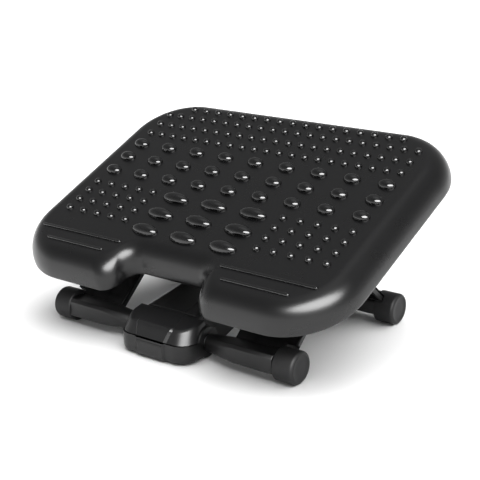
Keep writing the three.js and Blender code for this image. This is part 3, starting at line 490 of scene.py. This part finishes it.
# Top axle: a plated steel rod that the platform and both pairs of legs hang on, with a moulded spacer tube
# between the legs and an open spring clip in a groove at each end.
bar_steel = metal("drawn steel bar", (0.50, 0.51, 0.52), 0.30, (30, 2500, 2500))
axle_radius = 0.005
clip_groove = 0.0009
chamfer = 0.0006
running_gap = 0.0003
along_axle = Matrix.Translation(axle)
axle_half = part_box("top_axle")[1].x
clip_low, clip_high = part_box("axle_clip_right")
groove = (clip_low.x - running_gap, clip_high.x + running_gap)
rod = [(axle_radius - chamfer, -axle_half), (axle_radius, -axle_half + chamfer)]
rod += [(axle_radius, -groove[1]), (axle_radius - clip_groove, -groove[1])]
rod += [(axle_radius - clip_groove, -groove[0]), (axle_radius, -groove[0])]
rod += [(radius, -along) for radius, along in reversed(rod)]
fit(piece("axle_rod", [turned(rod, 48, along_axle)]), "carriage", "steel", bar_steel, "top_axle")


def sleeve_profile(outer, inner, low, high, edge):
    """Wall of a round tube with its end edges rounded off."""
    slight = edge * 0.3
    return [
        (outer, low + edge), (outer, high - edge), (outer - slight, high - slight), (outer - edge, high),
        (inner + edge, high), (inner, high - edge), (inner, low + edge), (inner + edge, low),
        (outer - edge, low), (outer - slight, low + slight),
    ]


spacer_low, spacer_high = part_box("axle_spacer")
spacer_radius = (spacer_high.z - spacer_low.z) / 2
tube = sleeve_profile(spacer_radius, axle_radius + running_gap, spacer_low.x, spacer_high.x, chamfer)
spacer = piece("axle_spacer_tube", [turned(tube, 48, along_axle, True)])
fit(spacer, "carriage", "base_plastic", base_plastic, "axle_spacer")
for side in ("left", "right"):
    clip = piece(f"spring_clip_{side}", [refined(f"axle_clip_{side}")], 35, 0.0002)
    fit(clip, "carriage", "steel", screw_steel, f"axle_clip_{side}")

# Legs: four moulded legs, each a flat-fronted sleeve on its bar, a pocketed sloping plate and two knuckles
# on the axle. The sleeve tapers to a round end towards the middle. The rear pair face the other way.
sides = ((-1, "left"), (1, "right"))
bar_places = {"front": joint_places["housing_level"], "rear": joint_places["strap_level"]}
leg_span = (0.084, 0.159)
leg_thickness = (-0.002, 0.006)
leg_skin = 0.003
leg_wall = 0.0032
knuckle_radius = 0.0095
knuckle_width = 0.012
knuckle_starts = {"front": (0.086, 0.130), "rear": (0.099, 0.143)}
sleeve_reach = (0.0513, 0.095, 0.147)
sleeve_end_radius = 0.0102
sleeve_edge = 0.0008
spigot_radius = 0.0136
spigot_length = 0.020
spigot_edge = 0.001
plate_start = 0.008
plate_setback = 0.015
foot_clear = 0.0205
axle_clear = 0.001
sleeve_corners = [Vector(corner) for corner in (
    (-0.017, -0.0075), (-0.0085, -0.011), (0.007, -0.011), (0.014, -0.007),
    (0.014, 0.007), (0.007, 0.013), (-0.0135, 0.013), (-0.017, 0.0095),
)]
sleeve_rounding = (0.0016, 0.004, 0.004, 0.004, 0.004, 0.004, 0.0016, 0.0016)


def rounded(corners, radii, steps):
    """Outline with every corner of a convex polygon turned into an arc of its own radius."""
    outline = []
    for i, corner in enumerate(corners):
        before = corners[i - 1] - corner
        after = corners[(i + 1) % len(corners)] - corner
        half = before.angle(after) / 2
        reach = min(radii[i] / math.tan(half), 0.48 * before.length, 0.48 * after.length)
        radius = reach * math.tan(half)
        inward = (before.normalized() + after.normalized()).normalized()
        centre = corner + inward * (radius / math.sin(half))
        start = corner + before.normalized() * reach - centre
        end = corner + after.normalized() * reach - centre
        first = math.atan2(start.y, start.x)
        turn = math.atan2(start.x * end.y - start.y * end.x, start.dot(end))
        outline += arc(centre.x, centre.y, radius, first, first + turn, steps)
    return outline


def edge_steps(radius):
    """Nine steps round a rounded edge: how far each is in from one face and from the other."""
    angles = [math.pi / 2 * i / 8 for i in range(9)]
    return [(radius * (1 - math.cos(a)), radius * (1 - math.sin(a))) for a in angles]


def across(side, near, far):
    """Span between two distances from the middle, on one side."""
    return sorted((side * near, side * far))


def leg_shapes(end, side):
    """Shapes of one leg, in place: side is -1 or 1 across, and the rear legs lean the other way."""
    bar = bar_places[end]
    lean = 1 if end == "front" else -1
    run = axle - bar
    length = math.hypot(run.y, run.z)
    slope = math.atan2(run.z, abs(run.y))
    # Place of the leg: x across, y along the leg from the bar to the axle, z out of its upper face
    place = Matrix.Translation(bar) @ Matrix.Diagonal((1, lean, 1, 1)) @ Matrix.Rotation(slope, 4, "X")

    def block(x_from, x_to, along_from, along_to, low, high):
        x_low, x_high = across(side, x_from, x_to)
        shapes.append(slab((x_low, along_from, low), (x_high, along_to, high), place))

    full = rounded(sleeve_corners, sleeve_rounding, 5)
    first = math.atan2(full[0].y, full[0].x)
    steps = [math.tau * i / len(full) for i in range(len(full))]
    small = [Vector((math.cos(first + a), math.sin(first + a))) * sleeve_end_radius for a in steps]
    inner, taper, outer = sleeve_reach
    edge = sleeve_edge
    stations = [
        (outer, 0.94, full), (outer - edge * 0.4, 0.985, full), (outer - edge, 1, full), (taper, 1, full),
        (inner + edge, 1, small), (inner + edge * 0.4, 0.97, small), (inner, 0.92, small),
    ]
    rings = [[(side * x, lean * p.x * s + bar.y, p.y * s + bar.z) for p in o] for x, s, o in stations]
    shapes = [lofted(rings)]
    tip = spigot_radius - spigot_edge
    spigot = [(tip, outer - 0.0002), (spigot_radius, outer + 0.0008)]
    spigot += [(spigot_radius, outer + spigot_length - spigot_edge), (tip, outer + spigot_length)]
    shapes.append(turned([(r, side * x) for r, x in spigot], 40, Matrix.Translation(bar)))
    plate_end = length - plate_setback
    low, high = leg_thickness
    x_in, x_out = leg_span
    block(x_in, outer, plate_start, plate_end, high - leg_skin, high)
    block(outer - overlap, x_out, foot_clear, plate_end, high - leg_skin, high)
    for i in range(4):
        x = x_in + i * (x_out - x_in - leg_wall) / 3
        start = plate_start if x < outer - leg_wall else foot_clear
        block(x, x + leg_wall, start, plate_end, low, high)
    block(x_in, x_out, foot_clear, foot_clear + leg_wall, low, high)
    block(x_in, x_out, plate_end - leg_wall, plate_end, low, high)
    reach = length - axle_radius - axle_clear
    for start in knuckle_starts[end]:
        stop = start + knuckle_width
        block(start, stop, plate_end - overlap, reach, low, high)
        ring = sleeve_profile(knuckle_radius, axle_radius + running_gap, *across(side, start, stop), chamfer)
        shapes.append(turned(ring, 40, along_axle, True))
    return shapes


for end in ("front", "rear"):
    for side, word in sides:
        leg = piece(f"{end}_leg_moulding_{word}", leg_shapes(end, side), 35, 0.0004)
        fit(leg, f"{end}_legs", "base_plastic", base_plastic, f"{end}_leg_{word}")

# Bars: two plated steel tubes through the legs, which carry the pedal housing in front and the strap behind.
bar_radius = 0.008
bar_wall = 0.0015
bar_edge = 0.0004
for end in ("front", "rear"):
    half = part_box(f"{end}_bar")[1].x
    wall = sleeve_profile(bar_radius, bar_radius - bar_wall, -half, half, bar_edge)
    bar = piece(f"{end}_bar_tube", [turned(wall, 48, Matrix.Translation(bar_places[end]), True)])
    fit(bar, f"{end}_legs", "steel", bar_steel, f"{end}_bar")

# Feet: four dark grey rubber cups pushed on the sleeves' ends, with a softly rounded outer edge and a
# shallow disc sunk in the end face.
foot_rubber = plastic("dark grey rubber", (0.006, 0.006, 0.0066), 0.56, 0.0006, 0.00004, 0.04, 1.42)
foot_round = 0.0036
foot_disc = (0.0142, 0.0005)
foot_bore = spigot_radius + running_gap
foot_inner_edge = ((0.0016, 0), (0.0003, 0.0007), (0, 0.0018))
for end in ("front", "rear"):
    for side, word in sides:
        low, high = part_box(f"{end}_foot_{word}")
        inner, outer = sorted((abs(low.x), abs(high.x)))
        radius = (high.z - low.z) / 2
        cup = [(foot_bore, inner + spigot_length), (foot_bore, inner)]
        cup += [(radius - drop, inner + inset) for drop, inset in foot_inner_edge]
        cup += [(radius - drop, outer - inset) for drop, inset in edge_steps(foot_round)]
        face = outer - foot_disc[1]
        cup += [(foot_disc[0] + 0.0002, outer), (foot_disc[0] - 0.0004, face)]
        cup += [(foot_disc[0] * 0.5, face), (0.0005, face)]
        shape = turned([(r, side * x) for r, x in cup], 72, Matrix.Translation(bar_places[end]))
        foot = piece(f"{end}_rubber_foot_{word}", [shape], 50)
        fit(foot, f"{end}_legs", "foot_rubber", foot_rubber, f"{end}_foot_{word}")

# Housing base: the lower half of the pedal housing, a tray on the front bar with rounded corners and a raised
# band in front. A ledge inside its rim and a thin skirt outside the pedal close the slit under the pedal. A
# narrow trough runs back under the strap. Matt black plastic, fastened to its cover by four screws.
bar = bar_places["front"]
housing_half = 0.050
housing_reach = 0.0412
housing_back = 0.0176
housing_corner = 0.019
housing_floor = 0.0012
housing_wall = 0.0025
parting = 0.021
barrel_radius = 0.0176
barrel_width = 0.012
skirt_top = parting + 0.0021
skirt_wall = 0.0003
ledge_inset = 0.0062
ledge_wall = 0.0008
ledge_top = 0.0234
ledge_under = (0.0015, 0.004)
band_half = 0.0215
band_proud = 0.0022
band_bevel = 1.4 * band_proud
trough_half = 0.037
trough_reach = 0.086
trough_top = 0.024
trough_floor = ((0, 0.0012), (0.024, 0.0012), (0.045, 0.006), (0.086, 0.0185))
post_radius = 0.0045
tray_round = (
    (0.0062, 0.0), (0.0040, 0.0002), (0.0024, 0.0010), (0.0012, 0.0022), (0.0004, 0.0038), (0.0, 0.0056),
)
drill_half = 0.06


def along_bar(points, x):
    """Outline of (distance behind the bar, height) pairs at a place across."""
    return [(x, bar.y + y, z) for y, z in points]


def sheet_block(points, x_from, x_to):
    return lofted([along_bar(points, x_from), along_bar(points, x_to)])


def opening(front, back, low, high, half):
    """Cutter for a square opening, by its distances behind the bar, its heights and its half width."""
    return sheet_block([(front, low), (back, low), (back, high), (front, high)], -half, half)


def housing_outline(half, front, back, inset):
    """Plan of the housing's front end, measured from the front bar, with rounded front corners."""
    bend = housing_corner - inset
    right = [Vector((0, inset - front))]
    right += arc(half - inset - bend, inset - front + bend, bend, -math.pi / 2, 0, 20)
    right += [Vector((half - inset, back - inset)), Vector((0, back - inset))]
    return right + [Vector((-p.x, p.y)) for p in reversed(right[1:-1])]


def tray_ring(inset, z):
    outline = housing_outline(housing_half, housing_reach, housing_back, inset)
    return [(p.x, p.y + bar.y, z) for p in outline]


def bar_drill(radius):
    return turned([(radius, -drill_half), (radius, drill_half)], 48, Matrix.Translation(bar))


def floor_at(y):
    """Height of the trough's underside at a distance behind the bar."""
    for (y0, z0), (y1, z1) in zip(trough_floor, trough_floor[1:]):
        if y <= y1:
            return z0 + (z1 - z0) * (y - y0) / (y1 - y0)


tray_floor = housing_floor + housing_wall
tray_face = bar.y - housing_reach
ledge_inner = ledge_inset + ledge_wall
tray_steps = [(inset, housing_floor + lift) for inset, lift in tray_round]
tray_rings = [tray_ring(inset, z) for inset, z in (
    *tray_steps, (0, skirt_top - 0.0001), (0.0001, skirt_top), (skirt_wall, skirt_top), (skirt_wall, parting),
    (ledge_inset, parting), (ledge_inset, ledge_top), (ledge_inner, ledge_top),
    (ledge_inner, parting - ledge_under[0]), (housing_wall, parting - ledge_under[1]),
    (housing_wall, tray_floor),
)]
inner_half = trough_half - housing_wall
cut_top = 0.03
door_front = -0.006
door_back = 0.03
gap_half = band_half - 0.0002
gap_front, gap_back = tray_face - overlap, tray_face + overlap
gap_corners = (-gap_half, gap_front, parting + 0.0001), (gap_half, gap_back, trough_top)
trough_door = opening(door_front, door_back, tray_floor, cut_top, inner_half)
tray_cutters = [trough_door, bar_drill(bar_radius + running_gap), slab(*gap_corners)]
housing_shapes = cut([lofted(tray_rings)], tray_cutters)

outer_profile = [*trough_floor, (trough_reach, trough_top), (0, trough_top)]
inner_profile = [(y, floor_at(y) + housing_wall) for y, z in trough_floor[:3]]
trough_end = trough_reach + 0.002
inner_profile += [(trough_end, floor_at(trough_reach) + housing_wall), (trough_end, cut_top)]
inner_profile += [(-overlap, cut_top), (-overlap, tray_floor)]
cover_screw_boxes = [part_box(f"cover_screw_{i}") for i in (1, 2)]
cover_screw_reaches = [(low.y + high.y) / 2 - bar.y for low, high in cover_screw_boxes]
cover_screw_across = abs(cover_screw_boxes[0][0].x + cover_screw_boxes[0][1].x) / 2
screw_bore = screw_shank + running_gap


def standing(side, reach, profile, looped=False):
    """Shape turned about the upright axis of one of the cover's screws."""
    spot = Matrix.Translation((side * cover_screw_across, bar.y + reach, 0))
    return turned(profile, 28, spot @ upright, looped)


def post(side, reach, low, high):
    return standing(side, reach, sleeve_profile(post_radius, screw_bore, low, high, 0.0003), True)


trough_cutters = [sheet_block(inner_profile, -inner_half, inner_half), bar_drill(bar_radius + running_gap)]
posts = []
for side in (-1, 1):
    for (low, high), reach in zip(cover_screw_boxes, cover_screw_reaches):
        seat = low.z + screw_head[1] + running_gap
        well = [(screw_head[0] + running_gap, z) for z in (-overlap, seat)]
        trough_cutters.append(standing(side, reach, well))
        posts.append(post(side, reach, seat, trough_top))
housing_shapes += cut([sheet_block(outer_profile, -trough_half, trough_half)], trough_cutters)
housing_shapes += posts
for side in (-1, 1):
    ends = across(side, housing_half - barrel_width, housing_half - 0.0001)
    barrel = sleeve_profile(barrel_radius, bar_radius + running_gap, *ends, 0.0004)
    housing_shapes.append(turned(barrel, 72, Matrix.Translation(bar), True))

pedal_pin_low, pedal_pin_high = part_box("pedal_pin")
lever_pin_low, lever_pin_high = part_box("lever_pin")
pedal_pin_place = (pedal_pin_low + pedal_pin_high) / 2
lever_pin_place = (lever_pin_low + lever_pin_high) / 2


def ear(middle, radius, foot_low, foot_high, x_from, x_to):
    """Upright ear with a round head about a pin."""
    head = arc(middle.y - bar.y, middle.z, radius, 0, math.pi, 14)
    return sheet_block([foot_low, foot_high, *head], x_from, x_to)


pedal_hub = (0.023, 0.005)
ear_inner = pedal_hub[0] + pedal_hub[1] + running_gap
lever_ear_inner = 0.013
pedal_ear_radius = 0.0055
lever_ear_radius = 0.005
ear_foot = 0.006
for side in (-1, 1):
    foot = [(s * barrel_radius, housing_floor + overlap) for s in (-1, 1)]
    span = across(side, ear_inner, pedal_pin_high.x)
    housing_shapes.append(ear(pedal_pin_place, pedal_ear_radius, *foot, *span))
    reach = lever_pin_place.y - bar.y
    foot = [(reach + s * ear_foot, floor_at(reach + s * ear_foot) + overlap) for s in (-1, 1)]
    span = across(side, lever_ear_inner, lever_pin_high.x)
    housing_shapes.append(ear(lever_pin_place, lever_ear_radius, *foot, *span))


def band_ring(inset, back, inner_back, z):
    """Plan of the band on the tray's face: solid, or a thin shell outside the pedal's band."""
    slope = band_half - band_bevel
    face = tray_face + inset
    front = face - band_proud
    ring = [(-band_half, face + back), (-band_half, face), (-slope, front)]
    ring += [(slope, front), (band_half, face), (band_half, face + back)]
    if inner_back:
        ring += [(slope, front + inner_back), (-slope, front + inner_back)]
    return [(x, y, z) for x, y in ring]


band_steps = [*tray_steps[:4], tray_steps[5], (0.0, parting - 0.0003), (0.0004, parting)]
housing_shapes.append(lofted([band_ring(inset, 0.004, 0, z) for inset, z in band_steps]))
band_skirt = [band_ring(0, skirt_wall, skirt_wall, z) for z in (parting - overlap, skirt_top)]
housing_shapes.append(lofted(band_skirt))
fit(piece("housing_tray", housing_shapes, 32), "housing", "base_plastic", base_plastic, "housing_base")

# Foot pedal: a tapered cap over the housing's front, with a sloping tread rounded at the edge and a band up
# its face and over the tread. It turns on a pin under its rear edge, and an arm reaches back under the lock
# lever. Satin plastic, a little shinier than the base.
pedal_grey = (0.0065, 0.0065, 0.007)
pedal_plastic = plastic("satin dark grey pedal plastic", pedal_grey, 0.36, 0.0008, 0.000015, 0.04)
pedal_low = parting + 0.0026
pedal_rear = -0.0015
tread_half = 0.047
tread_front = (-0.0322, 0.038)
tread_rear_height = 0.045
pedal_rise = tread_front[1] - parting
pedal_taper = ((housing_half - tread_half) / pedal_rise, (housing_reach + tread_front[0]) / pedal_rise)
tread_slope = (tread_rear_height - tread_front[1]) / (pedal_rear - tread_front[0])
tread_round = 0.0022
pedal_wall = 0.0018
arm_half = 0.008
arm_thickness = 0.004
arm_reach = 0.046
hub_radius = 0.005


def tread_at(y):
    return tread_front[1] + (y - tread_front[0]) * tread_slope


def pedal_outline(z, inset):
    half = housing_half - pedal_taper[0] * (z - parting)
    return housing_outline(half, housing_reach - pedal_taper[1] * (z - parting), pedal_rear, inset)


def pedal_ring(share, drop, inset):
    """Ring of the cap at a share of the way up from its lower edge to a level below the sloping tread."""
    ring = []
    for i in range(len(pedal_outline(parting, 0))):
        z = tread_front[1]
        for _ in range(6):
            spot = pedal_outline(z, inset)[i]
            z = pedal_low + share * (tread_at(spot.y) - drop - pedal_low)
        ring.append((spot.x, bar.y + spot.y, z))
    return ring


pedal_rings = [pedal_ring(1, 0, tread_round + 0.001), pedal_ring(1, 0, tread_round)]
pedal_rings += [pedal_ring(1, drop, inset) for inset, drop in reversed(edge_steps(tread_round)[:-1])]
pedal_rings += [pedal_ring(0.5, tread_round, 0), pedal_ring(0.02, tread_round, 0), pedal_ring(0, 0, 0.0003)]
pedal_rings += [pedal_ring(0, 0, pedal_wall), pedal_ring(1, pedal_wall, pedal_wall)]
open_half = 0.0436
open_low = 0.015
open_back = 0.004
open_drop = pedal_wall + 0.0002
open_rear = [(door_front, open_low), (open_back, open_low), (open_back, tread_rear_height - open_drop)]
open_rear += [(door_front, tread_at(door_front) - open_drop)]
pedal_cutters = [sheet_block(open_rear, -open_half, open_half)]
for side in (-1, 1):
    ends = across(side, housing_half - barrel_width - 0.001, housing_half + 0.004)
    pedal_cutters.append(turned([(barrel_radius + 0.002, e) for e in ends], 72, Matrix.Translation(bar)))
pedal_shapes = cut([lofted(pedal_rings)], pedal_cutters)

# The band runs up the pedal's face, bends over its front edge and goes back over the tread, thinner there
band_path = []
band_widening = 0.0045 / pedal_rise
bend_reach = 0.0032
bend_half = 0.026
tread_band = (0.0007, 0.025, 0.019)
tread_band_front = -0.03
face_band_low = pedal_low + 0.0002
face_band_top = tread_front[1] - 0.0035
for i in range(7):
    z = face_band_low + (face_band_top - pedal_low) * i / 6
    half = band_half + band_widening * (z - parting)
    band_path.append((-housing_reach + pedal_taper[1] * (z - parting), z, half, band_proud))
face_lean = math.atan(pedal_taper[1])
tread_lean = math.atan(tread_slope)
corner = Vector((tread_front[0], tread_at(tread_front[0])))
start = corner - bend_reach * Vector((math.sin(face_lean), math.cos(face_lean)))
stop = corner + bend_reach * Vector((math.cos(tread_lean), math.sin(tread_lean)))
for i in range(9):
    share = (i + 1) / 10
    spot = start * (1 - share) ** 2 + corner * 2 * share * (1 - share) + stop * share ** 2
    proud = band_proud + (tread_band[0] - band_proud) * share
    band_path.append((spot.x, spot.y, bend_half - 0.0006 * share, proud))
for i in range(6):
    share = i / 5
    y = tread_band_front + (pedal_rear - 0.0002 - tread_band_front) * share
    band_path.append((y, tread_at(y), tread_band[1] + (tread_band[2] - tread_band[1]) * share, tread_band[0]))


def band_loft(path, sink=0.0015):
    """Raised band along (y, z, half width, height) stations, with bevelled edges."""
    rings = []
    for i, (y, z, half, proud) in enumerate(path):
        before = path[max(i - 1, 0)]
        after = path[min(i + 1, len(path) - 1)]
        run = Vector((after[0] - before[0], after[1] - before[1])).normalized()
        out = Vector((-run.y, run.x))
        edge = half - proud * band_bevel / band_proud
        section = ((-half, -sink), (-half, 0), (-edge, proud), (edge, proud), (half, 0), (half, -sink))
        rings.append([(x, bar.y + y + out.x * height, z + out.y * height) for x, height in section])
    return lofted(rings)


pedal_shapes.append(band_loft(band_path))
pin_y = pedal_pin_place.y - bar.y
pin_z = pedal_pin_place.z
hub = arc(pin_y, pin_z, hub_radius, -math.pi, 0, 12)
hub += [(pin_y + s * hub_radius, tread_at(pin_y + s * hub_radius) - overlap) for s in (1, -1)]
for side in (-1, 1):
    pedal_shapes.append(sheet_block(hub, *across(side, pedal_hub[0], sum(pedal_hub))))
arm_top = pin_z + hub_radius / 2
arm_front = pin_y - 2 * hub_radius
arm_low = arm_top - arm_thickness
pedal_shapes.append(slab((-arm_half, bar.y + arm_front, arm_low), (arm_half, bar.y + arm_reach, arm_top)))
web_back = pedal_rear - housing_wall
web = [(y, arm_top - overlap) for y in (arm_front, web_back)]
web += [(y, tread_at(y) - overlap) for y in (web_back, arm_front)]
pedal_shapes.append(sheet_block(web, -arm_half, arm_half))
fit(piece("foot_pedal_cap", pedal_shapes, 28), "pedal", "pedal_plastic", pedal_plastic, "foot_pedal")

# Spine cover: the upper half of the housing behind the pedal, an upturned trough that rises to the rear. It
# has soft long edges, a faint band down its middle and four posts for its screws. Matt black plastic.
cover_low = trough_top + 0.0003
cover_front = pedal_rear + 0.0003
cover_heights = (0.0465, 0.058)
cover_round = 0.006
cover_slope = (cover_heights[1] - cover_heights[0]) / (trough_reach - pedal_rear)
strap_slot_half = 0.013
strap_slot_heights = (0.02, 0.028)
cover_bar_gap = 0.0013
spine_band_half = 0.0185
spine_band_narrowing = 0.0065
spine_band_proud = 0.0009
spine_band_sink = 0.0004


def roof_at(y):
    return cover_heights[0] + cover_slope * (y - pedal_rear)


def cover_section(y, inset):
    """Inverted U at a distance behind the bar, closed round its wall."""
    half = trough_half - inset
    top = roof_at(y) - inset
    bend = cover_round - inset
    right = [(half, cover_low), *arc(half - bend, top - bend, bend, 0, math.pi / 2, 8)]
    return [(x, bar.y + y, z) for x, z in right] + [(-x, bar.y + y, z) for x, z in reversed(right)]


back_plate = trough_reach - housing_wall
cover_ends = (cover_front, back_plate)
cover_shell = lofted([cover_section(y, 0) + cover_section(y, housing_wall)[::-1] for y in cover_ends])
plate = lofted([cover_section(y, inset) for y, inset in (
    (back_plate - 0.0001, 0), (trough_reach - 0.0008, 0), (trough_reach - 0.0002, 0.0003),
    (trough_reach, 0.0009),
)])
slot = opening(back_plate - 0.003, trough_reach + 0.003, *strap_slot_heights, strap_slot_half)
cover_shapes = cut([cover_shell, plate], [slot, bar_drill(bar_radius + cover_bar_gap)])
for side in (-1, 1):
    for reach in cover_screw_reaches:
        cover_shapes.append(post(side, reach, cover_low, roof_at(reach) - overlap))
spine_band = []
for i in range(9):
    y = cover_front + 0.0001 + (trough_reach - 0.001 - cover_front) * i / 8
    half = spine_band_half - spine_band_narrowing * i / 8
    spine_band.append((y, roof_at(y) - spine_band_sink, half, spine_band_proud))
cover_shapes.append(band_loft(spine_band))
fit(piece("spine_cover_shell", cover_shapes, 32), "housing", "base_plastic", base_plastic, "spine_cover")

# Cover screws: the same pan heads as under the platform, up through the trough into the cover's posts.
cover_screws = []
screw_pitch = 2 * cover_screw_across
for (low, high), reach in zip(cover_screw_boxes, cover_screw_reaches):
    seat = low.z + screw_head[1]
    centre = (0, bar.y + reach, seat)
    shape = screw_shape(high.z - seat)
    cover_screws.append(repeated(shape, 2, 1, screw_pitch, 0, centre, screw_steel, 0, (0, 0, 0)))
names = [f"cover_screw_{i}" for i in (1, 2, 3, 4)]
fit(piece("cover_screws", cover_screws, 30), "housing", "steel", screw_steel, *names)

# Pins: two short steel pins, one for the pedal and one for the lock lever, pressed into the housing's ears.
pin_radius = 0.002
pin_proud = 0.0004
for name, middle, end in (
    ("pedal_pin", pedal_pin_place, pedal_pin_high.x), ("lever_pin", lever_pin_place, lever_pin_high.x),
):
    half = end + pin_proud
    rod = [(pin_radius - chamfer, -half), (pin_radius, -half + 0.0005)]
    rod += [(radius, -x) for radius, x in reversed(rod)]
    pin = piece(f"{name}_rod", [turned(rod, 28, Matrix.Translation(middle))], 30)
    fit(pin, "housing", "steel", screw_steel, name)

# Pedal spring: one steel wire wound into six turns, standing on the tray under the pedal.
spring_steel = metal("bright spring steel", (0.42, 0.42, 0.43), 0.28, (400, 400, 400))
spring_low, spring_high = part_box("pedal_spring")
spring_turns = 6
turn_steps = 28
wire_radius = 0.00075
coil_radius = (spring_high.x - spring_low.x) / 2 - wire_radius
coil_centre = (spring_low + spring_high) / 2
wire_rings = []
wire_section = [math.tau * k / 10 for k in range(10)]
upward = Vector((0, 0, 1))
for i in range(spring_turns * turn_steps + 1):
    angle = math.tau * i / turn_steps
    share = i / (spring_turns * turn_steps)
    outward = Vector((math.cos(angle), math.sin(angle), 0))
    height = spring_low.z + wire_radius + (spring_high.z - spring_low.z - 2 * wire_radius) * share
    middle = Vector((coil_centre.x, coil_centre.y, height)) + outward * coil_radius
    spokes = [outward * math.cos(a) + upward * math.sin(a) for a in wire_section]
    wire_rings.append([middle + wire_radius * spoke for spoke in spokes])
fit(piece("coil_spring", [lofted(wire_rings)], 60), "housing", "steel", spring_steel, "pedal_spring")

# Lock lever and brake pad: the pedal's arm lifts the lever's front, which takes the pad off the strap. The
# lever is of the pedal's plastic and the pad of the feet's rubber. Both are made from their solids.
lever = piece("lock_lever_arm", [refined("lock_lever")], 35, 0.0005)
fit(lever, "lever", "pedal_plastic", pedal_plastic, "lock_lever")
pad = piece("rubber_brake_pad", [refined("brake_pad")], 35, 0.0004)
fit(pad, "lever", "foot_rubber", foot_rubber, "brake_pad")

# Height strap: the flat strap between the rear bar and the housing, with a wide head in front and a hub on
# the bar, and the two collars that keep the hub in the middle. Matt black plastic.
strap_hub = bar_places["rear"]
strap_low, strap_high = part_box("height_strap")
strap_half = 0.012
strap_hub_radius = 0.013
strap_bottom = 0.022
strap_top = 0.027
strap_front = strap_low.y
strap_head = 0.008
strap_inset = 0.001
strap_end = strap_hub.y - 0.0095
hub_bore = bar_radius + running_gap
hub = sleeve_profile(strap_hub_radius, hub_bore, -strap_half, strap_half, chamfer)
strap_shapes = [
    slab((-strap_half, strap_front + strap_inset, strap_bottom), (strap_half, strap_end, strap_top)),
    slab((strap_low.x, strap_front, strap_bottom), (strap_high.x, strap_front + strap_head, strap_top)),
    turned(hub, 64, Matrix.Translation(strap_hub), True),
]
strap = piece("height_strap_bar", strap_shapes, 32, 0.0004)
fit(strap, "strap", "base_plastic", base_plastic, "height_strap")
for word in ("left", "right"):
    low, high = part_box(f"strap_collar_{word}")
    ring = sleeve_profile((high.z - low.z) / 2, hub_bore, low.x, high.x, chamfer)
    collar = piece(f"collar_{word}", [turned(ring, 56, Matrix.Translation(strap_hub), True)])
    fit(collar, "rear_legs", "base_plastic", base_plastic, f"strap_collar_{word}")

# Light and camera: a white table under soft daylight from all round, with an even light from nearly overhead
# that leaves no highlights, and one softbox at the front right that makes them. Seen as in the photograph.
table_top = bmesh.new()
bmesh.ops.create_grid(table_top, x_segments=8, y_segments=8, size=14)
table = piece("table", [table_top])
white = bpy.data.materials.new("white table")
white.use_nodes = True
paper = white.node_tree.nodes["Principled BSDF"]
paper.inputs["Base Color"].default_value = (0.9, 0.9, 0.9, 1)
paper.inputs["Roughness"].default_value = 0.9
paper.inputs["Specular IOR Level"].default_value = 0.0
table.data.materials.append(white)

studio = bpy.data.worlds.new("studio")
studio.use_nodes = True
bpy.context.scene.world = studio
direction = wired(studio.node_tree, "ShaderNodeTexCoord", {})["Generated"]
height_seen = wired(studio.node_tree, "ShaderNodeSeparateXYZ", {0: direction})["Z"]
greys = wired(studio.node_tree, "ShaderNodeValToRGB", {"Fac": height_seen})["Color"]
sky = studio.node_tree.nodes["Background"]
sky.inputs["Strength"].default_value = 1.0
studio.node_tree.links.new(greys, sky.inputs["Color"])
stops = greys.node.color_ramp.elements
for height, grey in ((0.1, 0.75), (0.3, 0.38), (0.6, 0.26), (0.88, 0.34)):
    stops.new(height).color = (grey, grey, grey, 1)
stops[0].color = (1, 1, 1, 1)
stops[-1].color = (0.8, 0.8, 0.8, 1)


def hung(name, data, place, turn):
    """Light or camera as an object of the scene, at its place and turned about it."""
    made = bpy.data.objects.new(name, data)
    bpy.context.scene.collection.objects.link(made)
    made.location = place
    made.rotation_euler = turn.to_euler()
    return made


softbox = bpy.data.lights.new("front softbox", "AREA")
softbox.shape = "ELLIPSE"
softbox.size = 2.3
softbox.size_y = 1.06
softbox_radiance = 16.5
softbox.energy = softbox_radiance * math.pi ** 2 / 4 * softbox.size * softbox.size_y
softbox_distance = 1.8
lit_spot = Vector((0, 0, 0.12))
aim = Vector((0.603, -0.57, 0.545)).normalized()
softbox_place = lit_spot + aim * softbox_distance
front_light = hung("front softbox", softbox, softbox_place, aim.to_track_quat("Z", "Y"))
front_light.visible_diffuse = False
front_light.visible_camera = False

daylight = bpy.data.lights.new("overhead light", "SUN")
daylight.angle = math.radians(92)
daylight.energy = 1.5 * math.pi
sunward = Vector((0.28, 0.20, 1))
overhead_light = hung("overhead light", daylight, (0, 0, 0), sunward.to_track_quat("Z", "Y"))
overhead_light.visible_glossy = False

photo_width = 480
focal_pixels = 1142.7
camera_place = (0.78315, -1.02839, 0.51219)
camera_turn = (("Z", 37.04), ("X", 90 - 17.80), ("Z", -0.644))
lens = bpy.data.cameras.new("camera")
lens.sensor_width = 36
lens.lens = focal_pixels / photo_width * lens.sensor_width
heading, tip, roll = (Matrix.Rotation(math.radians(angle), 4, axis) for axis, angle in camera_turn)
bpy.context.scene.camera = hung("camera", lens, camera_place, heading @ tip @ roll)
bpy.context.scene.view_settings.view_transform = "Standard"
